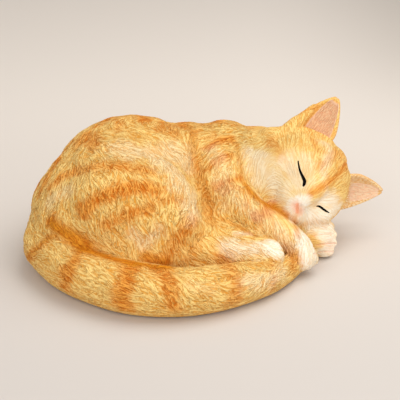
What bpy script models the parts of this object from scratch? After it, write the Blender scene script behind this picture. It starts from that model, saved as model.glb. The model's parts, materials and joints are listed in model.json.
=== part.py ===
"""Sleeping cat figurine, life size for a kitten, cast in resin and put together from separate castings.

Metres, +Z up. The cat lies curled on its left side with its head towards +X and its belly towards -Y.
The body is a hollow casting that is open below and closed by a base plate. Head, ears, forelegs, hind foot
and tail are castings of their own, which seat in the body and are held by pins and glue.
"""

import math
from functools import partial

import bmesh
import bpy
from mathutils import Matrix, Vector

# Fits and walls
GLUE_GAP = 0.0003           # between a casting and the seat cut for it
WALL = 0.006                # least wall of the hollow body
PIN_CLEARANCE = 0.0003      # all round a pin in its hole
PIN_END_CLEARANCE = 0.0005  # at each end of a pin

# Underside
PAD_THICKNESS = 0.0015
PAD_RADIUS = 0.009
PAD_PLACES = {              # two under the body, one under its front edge and one under the head
    "left_rear": (-0.092, 0.050),
    "left_front": (-0.100, -0.018),
    "right_front": (0.016, -0.020),
    "right_rear": (0.062, 0.040),
}
PLATE_THICKNESS = 0.004
PLATE_CENTRE = (-0.036, 0.012)
PLATE_HALF_LENGTH = 0.060   # along X
PLATE_HALF_WIDTH = 0.036    # along Y
PLATE_CLEARANCE = 0.0004
LEDGE_WIDTH = 0.006         # step in the body that the plate is glued against
LEDGE_THICKNESS = 0.005
PLUG_RADIUS = 0.010
PLUG_FLANGE = 0.0025        # how far the plug's rim runs out past its stem
PLUG_RIM_THICKNESS = 0.001
PLUG_STEM_LENGTH = 0.009
PLUG_PLACE = (-0.002, 0.0)  # from the plate's centre

# The whole figure is set so that the middle of its footprint is the origin
FIGURE_OFFSET = (-0.0063, 0.0055, 0.0)

# Body masses: centre, half-sizes, turn about Y in degrees
BODY_MASSES = {
    "rump": ((-0.084, 0.010, 0.036), (0.0575, 0.069, 0.059), 0.0),
    "loin": ((-0.057, 0.036, 0.050), (0.070, 0.062, 0.063), 0.0),
    "flank": ((-0.040, 0.018, 0.062), (0.040, 0.044, 0.047), 0.0),
    "ribs": ((-0.012, 0.045, 0.048), (0.060, 0.055, 0.055), 0.0),
    "shoulder": ((0.021, 0.046, 0.052), (0.038, 0.050, 0.054), 0.0),
    "belly": ((-0.014, 0.008, 0.020), (0.066, 0.056, 0.036), 0.0),
    "haunch": ((-0.062, 0.006, 0.060), (0.058, 0.052, 0.049), 0.0),
    "thigh": ((-0.055, -0.022, 0.057), (0.058, 0.046, 0.048), 8.0),
    "knee": ((-0.020, -0.036, 0.048), (0.023, 0.028, 0.034), 0.0),
    "hock": ((-0.048, -0.044, 0.032), (0.046, 0.027, 0.025), 0.0),
    "fold": ((0.004, -0.050, 0.010), (0.056, 0.026, 0.015), 0.0),
}
UPPER_ARM_LINE = (
    ((0.012, 0.040, 0.078), 0.024),
    ((0.017, 0.018, 0.076), 0.0215),
    ((0.024, 0.001, 0.067), 0.017),
    ((0.030, -0.007, 0.057), 0.0148),
)

# Tail: points on its middle line, each with the radius there, from the root to the tip
TAIL_LINE = (
    ((-0.098, 0.034, 0.026), 0.017),
    ((-0.120, 0.012, 0.024), 0.0215),
    ((-0.1245, -0.012, 0.0225), 0.023),
    ((-0.117, -0.032, 0.0215), 0.0225),
    ((-0.103, -0.052, 0.0210), 0.0220),
    ((-0.085, -0.068, 0.0205), 0.0215),
    ((-0.060, -0.083, 0.0200), 0.0213),
    ((-0.036, -0.0895, 0.0197), 0.0208),
    ((-0.010, -0.0895, 0.0185), 0.0195),
    ((0.014, -0.082, 0.0178), 0.0188),
    ((0.034, -0.071, 0.0163), 0.0172),
    ((0.052, -0.058, 0.0140), 0.0150),
    ((0.066, -0.042, 0.0115), 0.0125),
    ((0.074, -0.030, 0.0100), 0.0110),
)

# Right hind foot: from the hock, which is set into the thigh, to the toes
HIND_FOOT_LINE = (
    ((-0.018, -0.044, 0.0285), 0.0148),
    ((0.004, -0.044, 0.0285), 0.0135),
    ((0.024, -0.044, 0.0285), 0.0124),
    ((0.044, -0.044, 0.0288), 0.0120),
    ((0.0545, -0.044, 0.0285), 0.0120),
)

# Right foreleg: elbow, wrist, then the paw that hangs over the end of the tail
RIGHT_FORELEG_LINE = (
    ((0.0310, -0.0090, 0.0565), 0.0155),
    ((0.0405, -0.0130, 0.0505), 0.0145),
    ((0.0510, -0.0155, 0.0448), 0.0135),
    ((0.0630, -0.0180, 0.0375), 0.0127),
    ((0.0740, -0.0215, 0.0285), 0.0125),
    ((0.0815, -0.0255, 0.0205), 0.0128),
    ((0.0845, -0.0285, 0.0150), 0.0125),
)

# Left foreleg: only its end comes out from under the chin
LEFT_FORELEG_LINE = (
    ((0.044, 0.004, 0.0190), 0.0140),
    ((0.074, 0.005, 0.0175), 0.0140),
    ((0.094, 0.006, 0.0160), 0.0145),
    ((0.102, 0.007, 0.0155), 0.0142),
)
TOE_COUNT = 4
TOE_SHARE = 0.42            # a toe's radius as a share of its paw's
TOE_LENGTH_SHARE = 0.72

LEGS = {
    "right_hind_foot": {"line": HIND_FOOT_LINE, "across": (0.0, 1.0, 0.0), "ahead": (1.0, 0.0, -0.15)},
    "right_foreleg": {"line": RIGHT_FORELEG_LINE, "across": (0.9, 0.3, 0.0), "ahead": (0.25, -0.45, -0.85)},
    "left_foreleg": {"line": LEFT_FORELEG_LINE, "across": (0.0, 0.45, 0.9), "ahead": (1.0, 0.05, -0.05)},
}

# Head: where its middle lies and how it is turned. Its own axes are +X to the nose, +Y to the cat's left,
# +Z to the crown
HEAD_CENTRE = (0.079, 0.030, 0.053)
HEAD_TURN = (-63.7, -12.2, -74.8)  # degrees about the world's X, Y and Z
HEAD_SCALE = 1.02
HEAD_MASSES = {
    "cranium": ((-0.004, 0.0, 0.010), (0.040, 0.043, 0.040)),
    "brow": ((0.014, 0.0, 0.016), (0.022, 0.030, 0.022)),
    "face": ((0.012, 0.0, -0.008), (0.027, 0.033, 0.025)),
}
HEAD_PAIRS = {  # one on each side, given for the left
    "cheek": ((0.006, 0.018, -0.013), (0.026, 0.024, 0.024)),
    "ear_root": ((-0.008, 0.029, 0.026), (0.015, 0.015, 0.015)),
}
NECK_MASSES = {
    "nape": ((0.050, 0.053, 0.050), (0.036, 0.044, 0.047)),
    "neck": ((0.070, 0.048, 0.050), (0.034, 0.040, 0.044)),
    "throat": ((0.054, 0.024, 0.047), (0.031, 0.035, 0.042)),
    "neck_base": ((0.062, 0.038, 0.022), (0.036, 0.040, 0.024)),
}

# Features of the face, laid over the smoothed head
FACE_MASSES = {
    "muzzle": ((0.0285, 0.0, -0.014), (0.015, 0.019, 0.013)),
    "chin": ((0.027, 0.0, -0.024), (0.011, 0.013, 0.010)),
    "nose": ((0.0420, 0.0, -0.0100), (0.0040, 0.0060, 0.0045)),
}
FACE_PAIRS = {
    "whisker_pad": ((0.0325, 0.0065, -0.0150), (0.0100, 0.0090, 0.0090)),
    "eyelid": ((0.0255, 0.0185, 0.0050), (0.0090, 0.0140, 0.0100)),
}
NOSE_BRIDGE = (((0.024, 0.0, 0.018), 0.0120), ((0.034, 0.0, 0.004), 0.0098), ((0.039, 0.0, -0.007), 0.0070))

# Ears, in the head's axes, given for the left
EAR_BASE = (-0.002, 0.029, 0.033)    # middle of the ear's foot
EAR_HEIGHT = 0.041
EAR_WIDTH = 0.038
EAR_CUP = 0.0125                     # how deep the ear is hollowed
EAR_THICKNESS = 0.0028
EAR_TAB = 0.012                      # length of the root that is glued into the head
EAR_SPLAY = 27.0                     # degrees outward from the crown
EAR_OPENING = 23.0                   # degrees that the hollow looks outward
EAR_LEAN = -6.0                      # degrees backward

# Pins
PIN_RADIUS = 0.004
PIN_LENGTH = 0.034
PINS = {  # middle of each pin and the way it runs
    "neck_pin_upper": ((0.0185, 0.056, 0.066), (1.0, 0.06, 0.0)),
    "neck_pin_lower": ((0.0175, 0.054, 0.036), (1.0, 0.06, 0.0)),
    "tail_pin_root": ((-0.102, -0.010, 0.026), (1.0, 0.10, 0.0)),
    "tail_pin_middle": ((-0.048, -0.068, 0.022), (0.12, 0.99, 0.0)),
    "right_foreleg_pin": ((0.020, 0.002, 0.056), (-0.70, 0.70, 0.0)),
    "left_foreleg_pin": ((0.030, 0.004, 0.019), (1.0, 0.0, 0.0)),
    "hind_foot_pin": ((-0.032, -0.044, 0.0285), (1.0, 0.0, 0.0)),
}

PIN_HOLDERS = {  # the casting that each pin fixes to the body
    "neck_pin_upper": "head",
    "neck_pin_lower": "head",
    "tail_pin_root": "tail",
    "tail_pin_middle": "tail",
    "right_foreleg_pin": "right_foreleg",
    "left_foreleg_pin": "left_foreleg",
    "hind_foot_pin": "right_hind_foot",
}

# Mesh fineness
VOXEL = 0.0025
FINE_VOXEL = 0.0014
CORE_VOXEL = 0.004
DETAIL_ROUNDS = 14
BODY_FACES = 2000
CORE_FACES = 400
HEAD_FACES = 1350
TAIL_FACES = 900
LIMB_FACES = 600
EAR_COLUMNS = 5
EAR_ROWS = 6

FLOOR = PAD_THICKNESS       # underside of every casting


def remove_everything():
    """Empty the scene and make one collection for the parts and one for the cutters."""
    for obj in list(bpy.data.objects):
        bpy.data.objects.remove(obj, do_unlink=True)
    parts = bpy.data.collections.new("sleeping_cat")
    cutters = bpy.data.collections.new("cutters")
    for collection in (parts, cutters):
        bpy.context.scene.collection.children.link(collection)
    cutters.hide_render = True
    return parts, cutters


PARTS, CUTTERS = remove_everything()


def object_from(bm, name, collection):
    """Turn a bmesh into an object."""
    bmesh.ops.recalc_face_normals(bm, faces=bm.faces)
    mesh = bpy.data.meshes.new(name)
    bm.to_mesh(mesh)
    bm.free()
    obj = bpy.data.objects.new(name, mesh)
    collection.objects.link(obj)
    if collection is CUTTERS:
        obj.hide_render = True
        obj.display_type = "WIRE"
    return obj


def settle(obj):
    """Replace an object's mesh by the mesh that its modifiers make."""
    bpy.context.view_layer.update()
    graph = bpy.context.evaluated_depsgraph_get()
    made = bpy.data.meshes.new_from_object(obj.evaluated_get(graph))
    old = obj.data
    obj.modifiers.clear()
    obj.data = made
    bpy.data.meshes.remove(old)
    return obj


def ball(bm, centre, sizes, turn=None, segments=32):
    """Add an ellipsoid with these half-sizes."""
    place = Matrix.Translation(Vector(centre))
    if turn is not None:
        place = place @ turn
    place = place @ Matrix.Diagonal((*sizes, 1.0))
    bmesh.ops.create_uvsphere(bm, u_segments=segments, v_segments=segments // 2, radius=1.0, matrix=place)


def smooth_line(line, steps=6):
    """Points and radii on a smooth curve through the given ones (Catmull-Rom)."""
    points = [Vector((*place, radius)) for place, radius in line]
    ends = [points[0] * 2 - points[1]] + points + [points[-1] * 2 - points[-2]]
    for a, b, c, d in zip(ends, ends[1:], ends[2:], ends[3:]):
        for step in range(steps):
            t = step / steps
            yield ((b * 2) + (c - a) * t + (a * 2 - b * 5 + c * 4 - d) * t ** 2
                   + (b * 3 - a - c * 3 + d) * t ** 3) * 0.5
    yield points[-1]


def limb(bm, line, grow=0.0, place=None):
    """Add a tapering limb: a tube along a smooth line, with a ball at each end."""
    points = list(smooth_line(line))
    curve = bpy.data.curves.new("limb", "CURVE")
    curve.dimensions = "3D"
    curve.bevel_depth = 1.0
    curve.bevel_resolution = 4
    curve.use_fill_caps = True
    spline = curve.splines.new("POLY")
    spline.points.add(len(points) - 1)
    for spot, point in zip(spline.points, points):
        spot.co = (*point[:3], 1.0)
        spot.radius = point[3] + grow
    path = bpy.data.objects.new("limb", curve)
    CUTTERS.objects.link(path)
    tube = bpy.data.meshes.new_from_object(path)
    place = place or Matrix()
    tube.transform(place)
    bm.from_mesh(tube)
    bpy.data.objects.remove(path)
    bpy.data.meshes.remove(tube)
    for point in (points[0], points[-1]):
        ball(bm, (0.0, 0.0, 0.0), (point[3] + grow,) * 3, place @ Matrix.Translation(point[:3]), 20)


def wrap(name, bm, collection, voxel=VOXEL, rounds=8):
    """Draw one smooth closed surface over overlapping forms."""
    obj = object_from(bm, name, collection)
    remesh = obj.modifiers.new("skin", "REMESH")
    remesh.mode = "VOXEL"
    remesh.voxel_size = voxel
    soften = obj.modifiers.new("soften", "SMOOTH")
    soften.factor = 0.5
    soften.iterations = rounds
    return settle(obj)


def thinned(obj, faces):
    """Thin a surface to about this many triangles."""
    triangles = sum(len(face.vertices) - 2 for face in obj.data.polygons)
    thin = obj.modifiers.new("thin", "DECIMATE")
    thin.ratio = min(1.0, faces / triangles)
    return settle(obj)


def cut(obj, cutter):
    """Take the cutter's shape away from an object."""
    boolean = obj.modifiers.new("cut_" + cutter.name, "BOOLEAN")
    boolean.operation = "DIFFERENCE"
    boolean.solver = "EXACT"
    boolean.object = cutter
    return settle(obj)


def largest_body(obj):
    """Trim away the crumbs that a cut leaves loose."""
    bm = bmesh.new()
    bm.from_mesh(obj.data)
    left = set(bm.verts)
    islands = []
    while left:
        seen = {left.pop()}
        edge = list(seen)
        while edge:
            vert = edge.pop()
            for link in vert.link_edges:
                other = link.other_vert(vert)
                if other in left:
                    left.discard(other)
                    seen.add(other)
                    edge.append(other)
        islands.append(seen)
    islands.sort(key=len)
    for island in islands[:-1]:
        bmesh.ops.delete(bm, geom=list(island), context="VERTS")
    bm.to_mesh(obj.data)
    bm.free()
    return obj


def grown(obj, by):
    """A cutter that follows an object's surface this far outside it."""
    copy = bpy.data.objects.new(obj.name + "_seat", obj.data.copy())
    CUTTERS.objects.link(copy)
    copy.matrix_world = obj.matrix_world
    copy.hide_render = True
    copy.display_type = "WIRE"
    swell = copy.modifiers.new("swell", "DISPLACE")
    swell.strength = by
    swell.mid_level = 0.0
    return settle(copy)


def box(name, low, high):
    """A cutter between two corners."""
    bm = bmesh.new()
    sizes = [b - a for a, b in zip(low, high)]
    middle = [(a + b) / 2 for a, b in zip(low, high)]
    bmesh.ops.create_cube(bm, size=1.0, matrix=Matrix.Translation(middle) @ Matrix.Diagonal((*sizes, 1.0)))
    return object_from(bm, name, CUTTERS)


def rod(name, middle, way, radius, length, collection, segments=20):
    """A round bar with its middle at a point."""
    bm = bmesh.new()
    turn = Vector(way).to_track_quat("Z", "Y").to_matrix().to_4x4()
    bmesh.ops.create_cone(bm, cap_ends=True, segments=segments, radius1=radius, radius2=radius, depth=length,
                          matrix=Matrix.Translation(middle) @ turn)
    return object_from(bm, name, collection)


def oval(name, centre, half_length, half_width, low, high, collection, sides=40):
    """A flat plate or cutter with an oval outline between two heights."""
    bm = bmesh.new()
    place = Matrix.Translation((*centre, (low + high) / 2)) @ Matrix.Diagonal((half_length, half_width, 1.0, 1.0))
    bmesh.ops.create_cone(bm, cap_ends=True, segments=sides, radius1=1.0, radius2=1.0, depth=high - low,
                          matrix=place)
    return object_from(bm, name, collection)


FLOOR_BOX = box("below_floor", (-0.3, -0.3, -0.1), (0.3, 0.3, FLOOR))


def head_place():
    """The head's own axes as a matrix."""
    turns = [math.radians(angle) for angle in HEAD_TURN]
    turn = Matrix.Rotation(turns[2], 4, "Z") @ Matrix.Rotation(turns[1], 4, "Y") @ Matrix.Rotation(turns[0], 4, "X")
    return Matrix.Translation(HEAD_CENTRE) @ turn @ Matrix.Scale(HEAD_SCALE, 4)


def mirrored(place):
    """The same point on the cat's other side, in the head's axes."""
    return (place[0], -place[1], place[2])


def tail_forms(bm, grow=0.0):
    """The tail, which wraps round the front."""
    limb(bm, TAIL_LINE, grow)


def leg_forms(bm, leg, grow=0.0):
    """A tapering leg with its toes."""
    limb(bm, leg["line"], grow)
    end, radius = leg["line"][-1]
    ahead = Vector(leg["ahead"]).normalized()
    across = Vector(leg["across"])
    across = (across - ahead * across.dot(ahead)).normalized()
    turn = Matrix((ahead, across, ahead.cross(across))).transposed().to_4x4()
    middle = Vector(end) + ahead * radius * 0.45
    toe = radius * TOE_SHARE
    for n in range(TOE_COUNT):
        side = (n - (TOE_COUNT - 1) / 2) * toe * 1.2
        place = middle + across * side - ahead * abs(side) * 0.35
        ball(bm, place, [size + grow for size in (radius * TOE_LENGTH_SHARE, toe * 0.9, toe * 1.15)], turn, 20)


def masses(bm, single, pairs, grow=0.0):
    """Masses in the head's axes: the ones on its middle and the ones that come in pairs."""
    place = head_place()
    both = [(side, sizes) for centre, sizes in pairs.values() for side in (centre, mirrored(centre))]
    for centre, sizes in [*single.values(), *both]:
        ball(bm, (0.0, 0.0, 0.0), [size + grow for size in sizes], place @ Matrix.Translation(centre))


def head_forms(bm, grow=0.0):
    """The head and neck."""
    masses(bm, HEAD_MASSES, HEAD_PAIRS, grow)
    for centre, sizes in NECK_MASSES.values():
        ball(bm, centre, [size + grow for size in sizes])


def face_forms(bm):
    """Muzzle, nose, chin and closed eyelids."""
    masses(bm, FACE_MASSES, FACE_PAIRS)
    limb(bm, NOSE_BRIDGE, place=head_place())


def body_forms(bm, grow=0.0):
    """Rump, back, shoulder, belly and thigh."""
    for centre, sizes, turn in BODY_MASSES.values():
        ball(bm, centre, [size + grow for size in sizes], Matrix.Rotation(math.radians(turn), 4, "Y"))
    limb(bm, UPPER_ARM_LINE, grow)


def casting(name, add_forms, faces, voxel=VOXEL, rounds=8, add_details=None):
    """Make a casting, and the cutter for the seats that it needs in its neighbours."""
    bm = bmesh.new()
    add_forms(bm)
    made = wrap(name, bm, PARTS, voxel, rounds)
    if add_details:
        bm = bmesh.new()
        bm.from_mesh(made.data)
        add_details(bm)
        bpy.data.objects.remove(made)
        made = wrap(name, bm, PARTS, FINE_VOXEL, DETAIL_ROUNDS)
    thinned(made, faces)
    seat = grown(made, GLUE_GAP)
    return cut(made, FLOOR_BOX), seat


def make_ear(name, side):
    """A cupped ear with a root that is glued into the head. Side is 1 for the cat's left and -1 for its right."""
    bm = bmesh.new()
    bmesh.ops.create_grid(bm, x_segments=EAR_COLUMNS, y_segments=EAR_ROWS, size=0.5)
    full = EAR_HEIGHT + EAR_TAB
    for vert in bm.verts:
        across = vert.co.x * 2
        height = (vert.co.y + 0.5) * full - EAR_TAB
        share = max(height, 0.0) / EAR_HEIGHT
        half = EAR_WIDTH / 2 * max(1.0 - share ** 1.5, 0.0) ** 0.85 + EAR_THICKNESS * 0.8
        half *= 1.0 - 0.28 * max(-height / EAR_TAB, 0.0)
        bow = EAR_CUP * (1.0 - across ** 2) * (half / (EAR_WIDTH / 2))
        vert.co = Vector((-bow, across * half * side, height - 0.12 * EAR_WIDTH * across * (1.0 - share)))
    ear = object_from(bm, name, PARTS)
    shell = ear.modifiers.new("shell", "SOLIDIFY")
    shell.thickness = EAR_THICKNESS
    shell.offset = 0.0
    soften = ear.modifiers.new("soften", "SUBSURF")
    soften.levels = 1
    soften.render_levels = 1
    settle(ear)
    base = EAR_BASE if side > 0 else mirrored(EAR_BASE)
    stand = (Matrix.Rotation(math.radians(-EAR_SPLAY * side), 4, "X")
             @ Matrix.Rotation(math.radians(EAR_LEAN), 4, "Y")
             @ Matrix.Rotation(math.radians(EAR_OPENING * side), 4, "Z"))
    ear.data.transform(head_place() @ Matrix.Translation(base) @ stand)
    return ear, grown(ear, GLUE_GAP)


def make_core(ledge_top):
    """The hollow inside the body, kept a wall's thickness away from every seat and pin."""
    bm = bmesh.new()
    body_forms(bm, -WALL)
    core = thinned(wrap("core", bm, CUTTERS, CORE_VOXEL), CORE_FACES)
    bm = bmesh.new()
    tail_forms(bm, WALL)
    head_forms(bm, WALL)
    for leg in LEGS.values():
        leg_forms(bm, leg, WALL)
    for middle, way in PINS.values():
        reach = Vector(way).normalized() * PIN_LENGTH / 2
        ends = [(Vector(middle) + reach * side, PIN_RADIUS + WALL) for side in (-1, 1)]
        limb(bm, ends)
    cut(core, thinned(wrap("keep_away", bm, CUTTERS, CORE_VOXEL, 3), CORE_FACES * 2))
    cut(core, box("below_ledge", (-0.3, -0.3, -0.1), (0.3, 0.3, ledge_top)))
    return largest_body(core)


def make_pin(name):
    """A pin, and the hole for it with its clearances."""
    middle, way = PINS[name]
    rod(name, middle, way, PIN_RADIUS, PIN_LENGTH, PARTS)
    return rod(name + "_hole", middle, way, PIN_RADIUS + PIN_CLEARANCE, PIN_LENGTH + 2 * PIN_END_CLEARANCE, CUTTERS)


def make_underside(body):
    """Base plate in its rebate, the plug in its pour hole and the felt pads."""
    plate_top = FLOOR + PLATE_THICKNESS
    ledge_top = plate_top + LEDGE_THICKNESS
    plate = oval("base_plate", PLATE_CENTRE, PLATE_HALF_LENGTH, PLATE_HALF_WIDTH, FLOOR, plate_top, PARTS)
    rebate = oval("plate_rebate", PLATE_CENTRE, PLATE_HALF_LENGTH + PLATE_CLEARANCE,
                  PLATE_HALF_WIDTH + PLATE_CLEARANCE, -0.01, plate_top + GLUE_GAP, CUTTERS)
    mouth = oval("core_mouth", PLATE_CENTRE, PLATE_HALF_LENGTH - LEDGE_WIDTH, PLATE_HALF_WIDTH - LEDGE_WIDTH,
                 -0.01, ledge_top + 0.004, CUTTERS)
    for tool in (make_core(ledge_top), mouth, rebate):
        cut(body, tool)

    x, y = PLATE_CENTRE
    place = (x + PLUG_PLACE[0], y + PLUG_PLACE[1])
    cut(plate, rod("pour_hole", (*place, FLOOR), (0, 0, 1), PLUG_RADIUS + PIN_CLEARANCE, 0.1, CUTTERS, 24))
    cut(plate, rod("plug_recess", (*place, FLOOR), (0, 0, 1), PLUG_RADIUS + PLUG_FLANGE + PIN_CLEARANCE,
                   2 * (PLUG_RIM_THICKNESS + GLUE_GAP), CUTTERS, 24))
    bm = bmesh.new()
    profile = ((0.0, PLUG_STEM_LENGTH), (PLUG_RADIUS * 0.96, PLUG_STEM_LENGTH),
               (PLUG_RADIUS, PLUG_STEM_LENGTH * 0.75), (PLUG_RADIUS, PLUG_RIM_THICKNESS),
               (PLUG_RADIUS + PLUG_FLANGE, PLUG_RIM_THICKNESS), (PLUG_RADIUS + PLUG_FLANGE, 0.0), (0.0, 0.0))
    verts = [bm.verts.new((radius, 0.0, height)) for radius, height in profile]
    for a, b in zip(verts, verts[1:]):
        bm.edges.new((a, b))
    bmesh.ops.spin(bm, geom=[*bm.verts, *bm.edges], cent=(0, 0, 0), axis=(0, 0, 1), angle=math.tau, steps=24,
                   use_merge=True)
    bmesh.ops.remove_doubles(bm, verts=bm.verts, dist=0.00005)
    bmesh.ops.translate(bm, verts=bm.verts, vec=(*place, FLOOR))
    object_from(bm, "vent_plug", PARTS)

    height = PAD_THICKNESS - GLUE_GAP
    for name, (x, y) in PAD_PLACES.items():
        rod("felt_pad_" + name, (x, y, height / 2), (0, 0, 1), PAD_RADIUS, height, PARTS, 24)


def material(name, colour, roughness, metallic=0.0):
    """A plain Principled material."""
    made = bpy.data.materials.new(name)
    made.use_nodes = True
    shader = made.node_tree.nodes["Principled BSDF"]
    shader.inputs["Base Color"].default_value = (*colour, 1.0)
    shader.inputs["Roughness"].default_value = roughness
    shader.inputs["Metallic"].default_value = metallic
    return made


def main():
    """Make every casting, cut the seats from the outside in, and fit the pins and the underside."""
    place = bpy.data.objects.new("figure", None)
    PARTS.objects.link(place)

    tail, tail_seat = casting("tail", tail_forms, TAIL_FACES)
    legs = {name: casting(name, partial(leg_forms, leg=leg), LIMB_FACES, FINE_VOXEL, 5) for name, leg in LEGS.items()}
    ears = {name: make_ear(name, side) for name, side in (("right_ear", -1), ("left_ear", 1))}
    head, head_seat = casting("head", head_forms, HEAD_FACES, rounds=25, add_details=face_forms)
    body, _ = casting("body", body_forms, BODY_FACES, rounds=30)
    make_underside(body)

    seats = [tail_seat]
    for leg, seat in legs.values():
        for tool in seats:
            cut(leg, tool)
        largest_body(leg)
        seats.append(seat)
    for tool in [*seats, *(seat for _, seat in ears.values())]:
        cut(head, tool)
    largest_body(head)
    for tool in [*seats, head_seat]:
        cut(body, tool)
    largest_body(body)

    castings = {"head": head, "tail": tail, **{name: leg for name, (leg, _) in legs.items()}}
    for name, holder in PIN_HOLDERS.items():
        hole = make_pin(name)
        cut(castings[holder], hole)
        cut(body, hole)

    resin = material("painted_resin", (0.86, 0.55, 0.22), 0.55)
    ear_resin = material("ear_resin", (0.87, 0.58, 0.40), 0.55)
    board = material("base_board", (0.20, 0.14, 0.09), 0.8)
    rubber = material("plug_rubber", (0.05, 0.05, 0.05), 0.7)
    felt = material("pad_felt", (0.10, 0.09, 0.08), 0.95)
    steel = material("pin_steel", (0.55, 0.55, 0.56), 0.35, 1.0)
    for obj in PARTS.objects:
        if obj.type != "MESH":
            continue
        finish = resin
        if "ear" in obj.name.split("_"):
            finish = ear_resin
        if "pin" in obj.name.split("_"):
            finish = steel
        if obj.name.startswith("felt"):
            finish = felt
        if obj.name == "base_plate":
            finish = board
        if obj.name == "vent_plug":
            finish = rubber
        obj.data.materials.clear()
        obj.data.materials.append(finish)
        obj.parent = place
    place.location = FIGURE_OFFSET
    bpy.context.view_layer.update()


main()
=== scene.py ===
import json
import math
import time

import bmesh
import bpy
import numpy as np
from mathutils import Matrix, Vector
from mathutils.bvhtree import BVHTree
from mathutils.noise import noise as softNoise


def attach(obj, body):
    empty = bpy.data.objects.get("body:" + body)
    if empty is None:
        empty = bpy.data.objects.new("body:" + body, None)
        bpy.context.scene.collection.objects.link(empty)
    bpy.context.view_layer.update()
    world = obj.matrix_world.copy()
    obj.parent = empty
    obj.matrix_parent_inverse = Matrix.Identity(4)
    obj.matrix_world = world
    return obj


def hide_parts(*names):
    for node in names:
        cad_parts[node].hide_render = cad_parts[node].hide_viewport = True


# Sleeping tabby kitten, cast resin, painted by hand. Metres, Z up, the cat looks towards the viewer (-Y).

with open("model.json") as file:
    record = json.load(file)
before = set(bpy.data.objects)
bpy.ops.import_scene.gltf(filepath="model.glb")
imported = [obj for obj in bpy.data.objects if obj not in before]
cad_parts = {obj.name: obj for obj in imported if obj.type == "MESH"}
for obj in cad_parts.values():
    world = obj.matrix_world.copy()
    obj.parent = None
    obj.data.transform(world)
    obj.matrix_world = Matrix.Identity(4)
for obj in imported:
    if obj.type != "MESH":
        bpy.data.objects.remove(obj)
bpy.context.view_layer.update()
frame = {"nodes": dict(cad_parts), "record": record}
started = time.perf_counter()


def report(stage):
    print("%5.1f s  %s" % (time.perf_counter() - started, stage))


# Camera, set first: the marks are placed through it
shot = {
    "target": (-0.0063, 0.0055, 0.0545),
    "elevation": math.radians(25.0),
    "distance": 1.0,
    "pixelsPerTangent": 1211.0,  # how many pixels of the photograph a slope of 1 covers
    "frame": 400,                # pixels
    "sensor": 36.0,              # mm
    "clip": (0.05, 30.0),
}
pixel = shot["distance"] / shot["pixelsPerTangent"]  # how much of the cat one pixel covers


def makeCamera():
    lift = shot["elevation"]
    back = Vector((0.0, -math.cos(lift), math.sin(lift)))
    data = bpy.data.cameras.new("studio_camera")
    data.sensor_width = shot["sensor"]
    data.lens = shot["sensor"] * shot["pixelsPerTangent"] / shot["frame"]
    data.clip_start, data.clip_end = shot["clip"]
    camera = bpy.data.objects.new("studio_camera", data)
    camera.location = Vector(shot["target"]) + back * shot["distance"]
    camera.rotation_euler = (math.pi / 2 - lift, 0.0, 0.0)
    bpy.context.scene.collection.objects.link(camera)
    bpy.context.scene.camera = camera
    return camera


camera = makeCamera()


def photoRay(x, y):  # where a pixel of the photograph looks from, and which way
    lift, half = shot["elevation"], shot["frame"] / 2
    ahead = Vector((0.0, math.cos(lift), -math.sin(lift)))
    up = Vector((0.0, math.sin(lift), math.cos(lift)))
    right = Vector(((x - half) / shot["pixelsPerTangent"], 0.0, 0.0))
    return camera.location.copy(), (ahead + right - up * ((y - half) / shot["pixelsPerTangent"])).normalized()


# Shader expressions
class Wire:  # a socket that can be written into an expression
    def __init__(self, paint, socket):
        self.paint = paint
        self.socket = socket

    def sum(self, operation, first, second):
        return self.paint.node("ShaderNodeMath", {"operation": operation}, {0: first, 1: second})

    def __add__(self, other):
        return self.sum("ADD", self, other)

    def __radd__(self, other):
        return self.sum("ADD", other, self)

    def __sub__(self, other):
        return self.sum("SUBTRACT", self, other)

    def __rsub__(self, other):
        return self.sum("SUBTRACT", other, self)

    def __mul__(self, other):
        return self.sum("MULTIPLY", self, other)

    def __rmul__(self, other):
        return self.sum("MULTIPLY", other, self)


class Paint:  # one material and its nodes
    def __init__(self, name):
        self.material = bpy.data.materials.new(name)
        self.material.use_nodes = True
        self.tree = self.material.node_tree
        self.shader = self.tree.nodes["Principled BSDF"]

    def fill(self, socket, value):
        if isinstance(value, Wire):
            self.tree.links.new(value.socket, socket)
        elif socket.type == "RGBA":
            socket.default_value = (*value, 1.0)
        else:
            socket.default_value = value

    def node(self, kind, settings=None, values=None, out=0):
        made = self.tree.nodes.new(kind)
        for name, value in (settings or {}).items():
            setattr(made, name, value)
        for key, value in (values or {}).items():
            self.fill(made.inputs[key], value)
        return Wire(self, made.outputs[out])

    def stored(self, name, out="Fac"):  # a value kept on the points of the mesh
        return self.node("ShaderNodeAttribute", {"attribute_name": name}, out=out)

    def tone(self, first, second, share, blend="MIX"):
        return self.node("ShaderNodeMix", {"data_type": "RGBA", "blend_type": blend},
                         {0: share, 6: first, 7: second}, out=2)

    def between(self, value, low, high):  # 0 below the low value, 1 above the high one
        return self.node("ShaderNodeMapRange", {"interpolation_type": "SMOOTHSTEP"},
                         {0: value, 1: low, 2: high})

    def place(self):
        return self.node("ShaderNodeTexCoord", out="Object")

    def cloud(self, scale, detail, place=None):
        values = {"Scale": scale, "Detail": detail, "Vector": place or self.place()}
        return self.node("ShaderNodeTexNoise", None, values, out="Fac")

    def streaks(self, scale, length, count):  # noise drawn out along the hair's direction
        way = self.stored("way", "Vector")
        total = None
        for n in range(count):
            shift = (n / (count - 1) - 0.5) * length
            spot = self.node("ShaderNodeVectorMath", {"operation": "MULTIPLY_ADD"},
                             {0: way, 1: (shift,) * 3, 2: self.place()})
            grain = self.cloud(scale, 0.0, spot)
            total = grain if total is None else total + grain
        return total * (1 / count)

    def relief(self, height, distance):
        return self.node("ShaderNodeBump", None, {"Height": height, "Distance": distance}, out="Normal")

    def set(self, **values):
        for name, value in values.items():
            self.fill(self.shader.inputs[name.replace("_", " ")], value)
        return self.material


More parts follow.
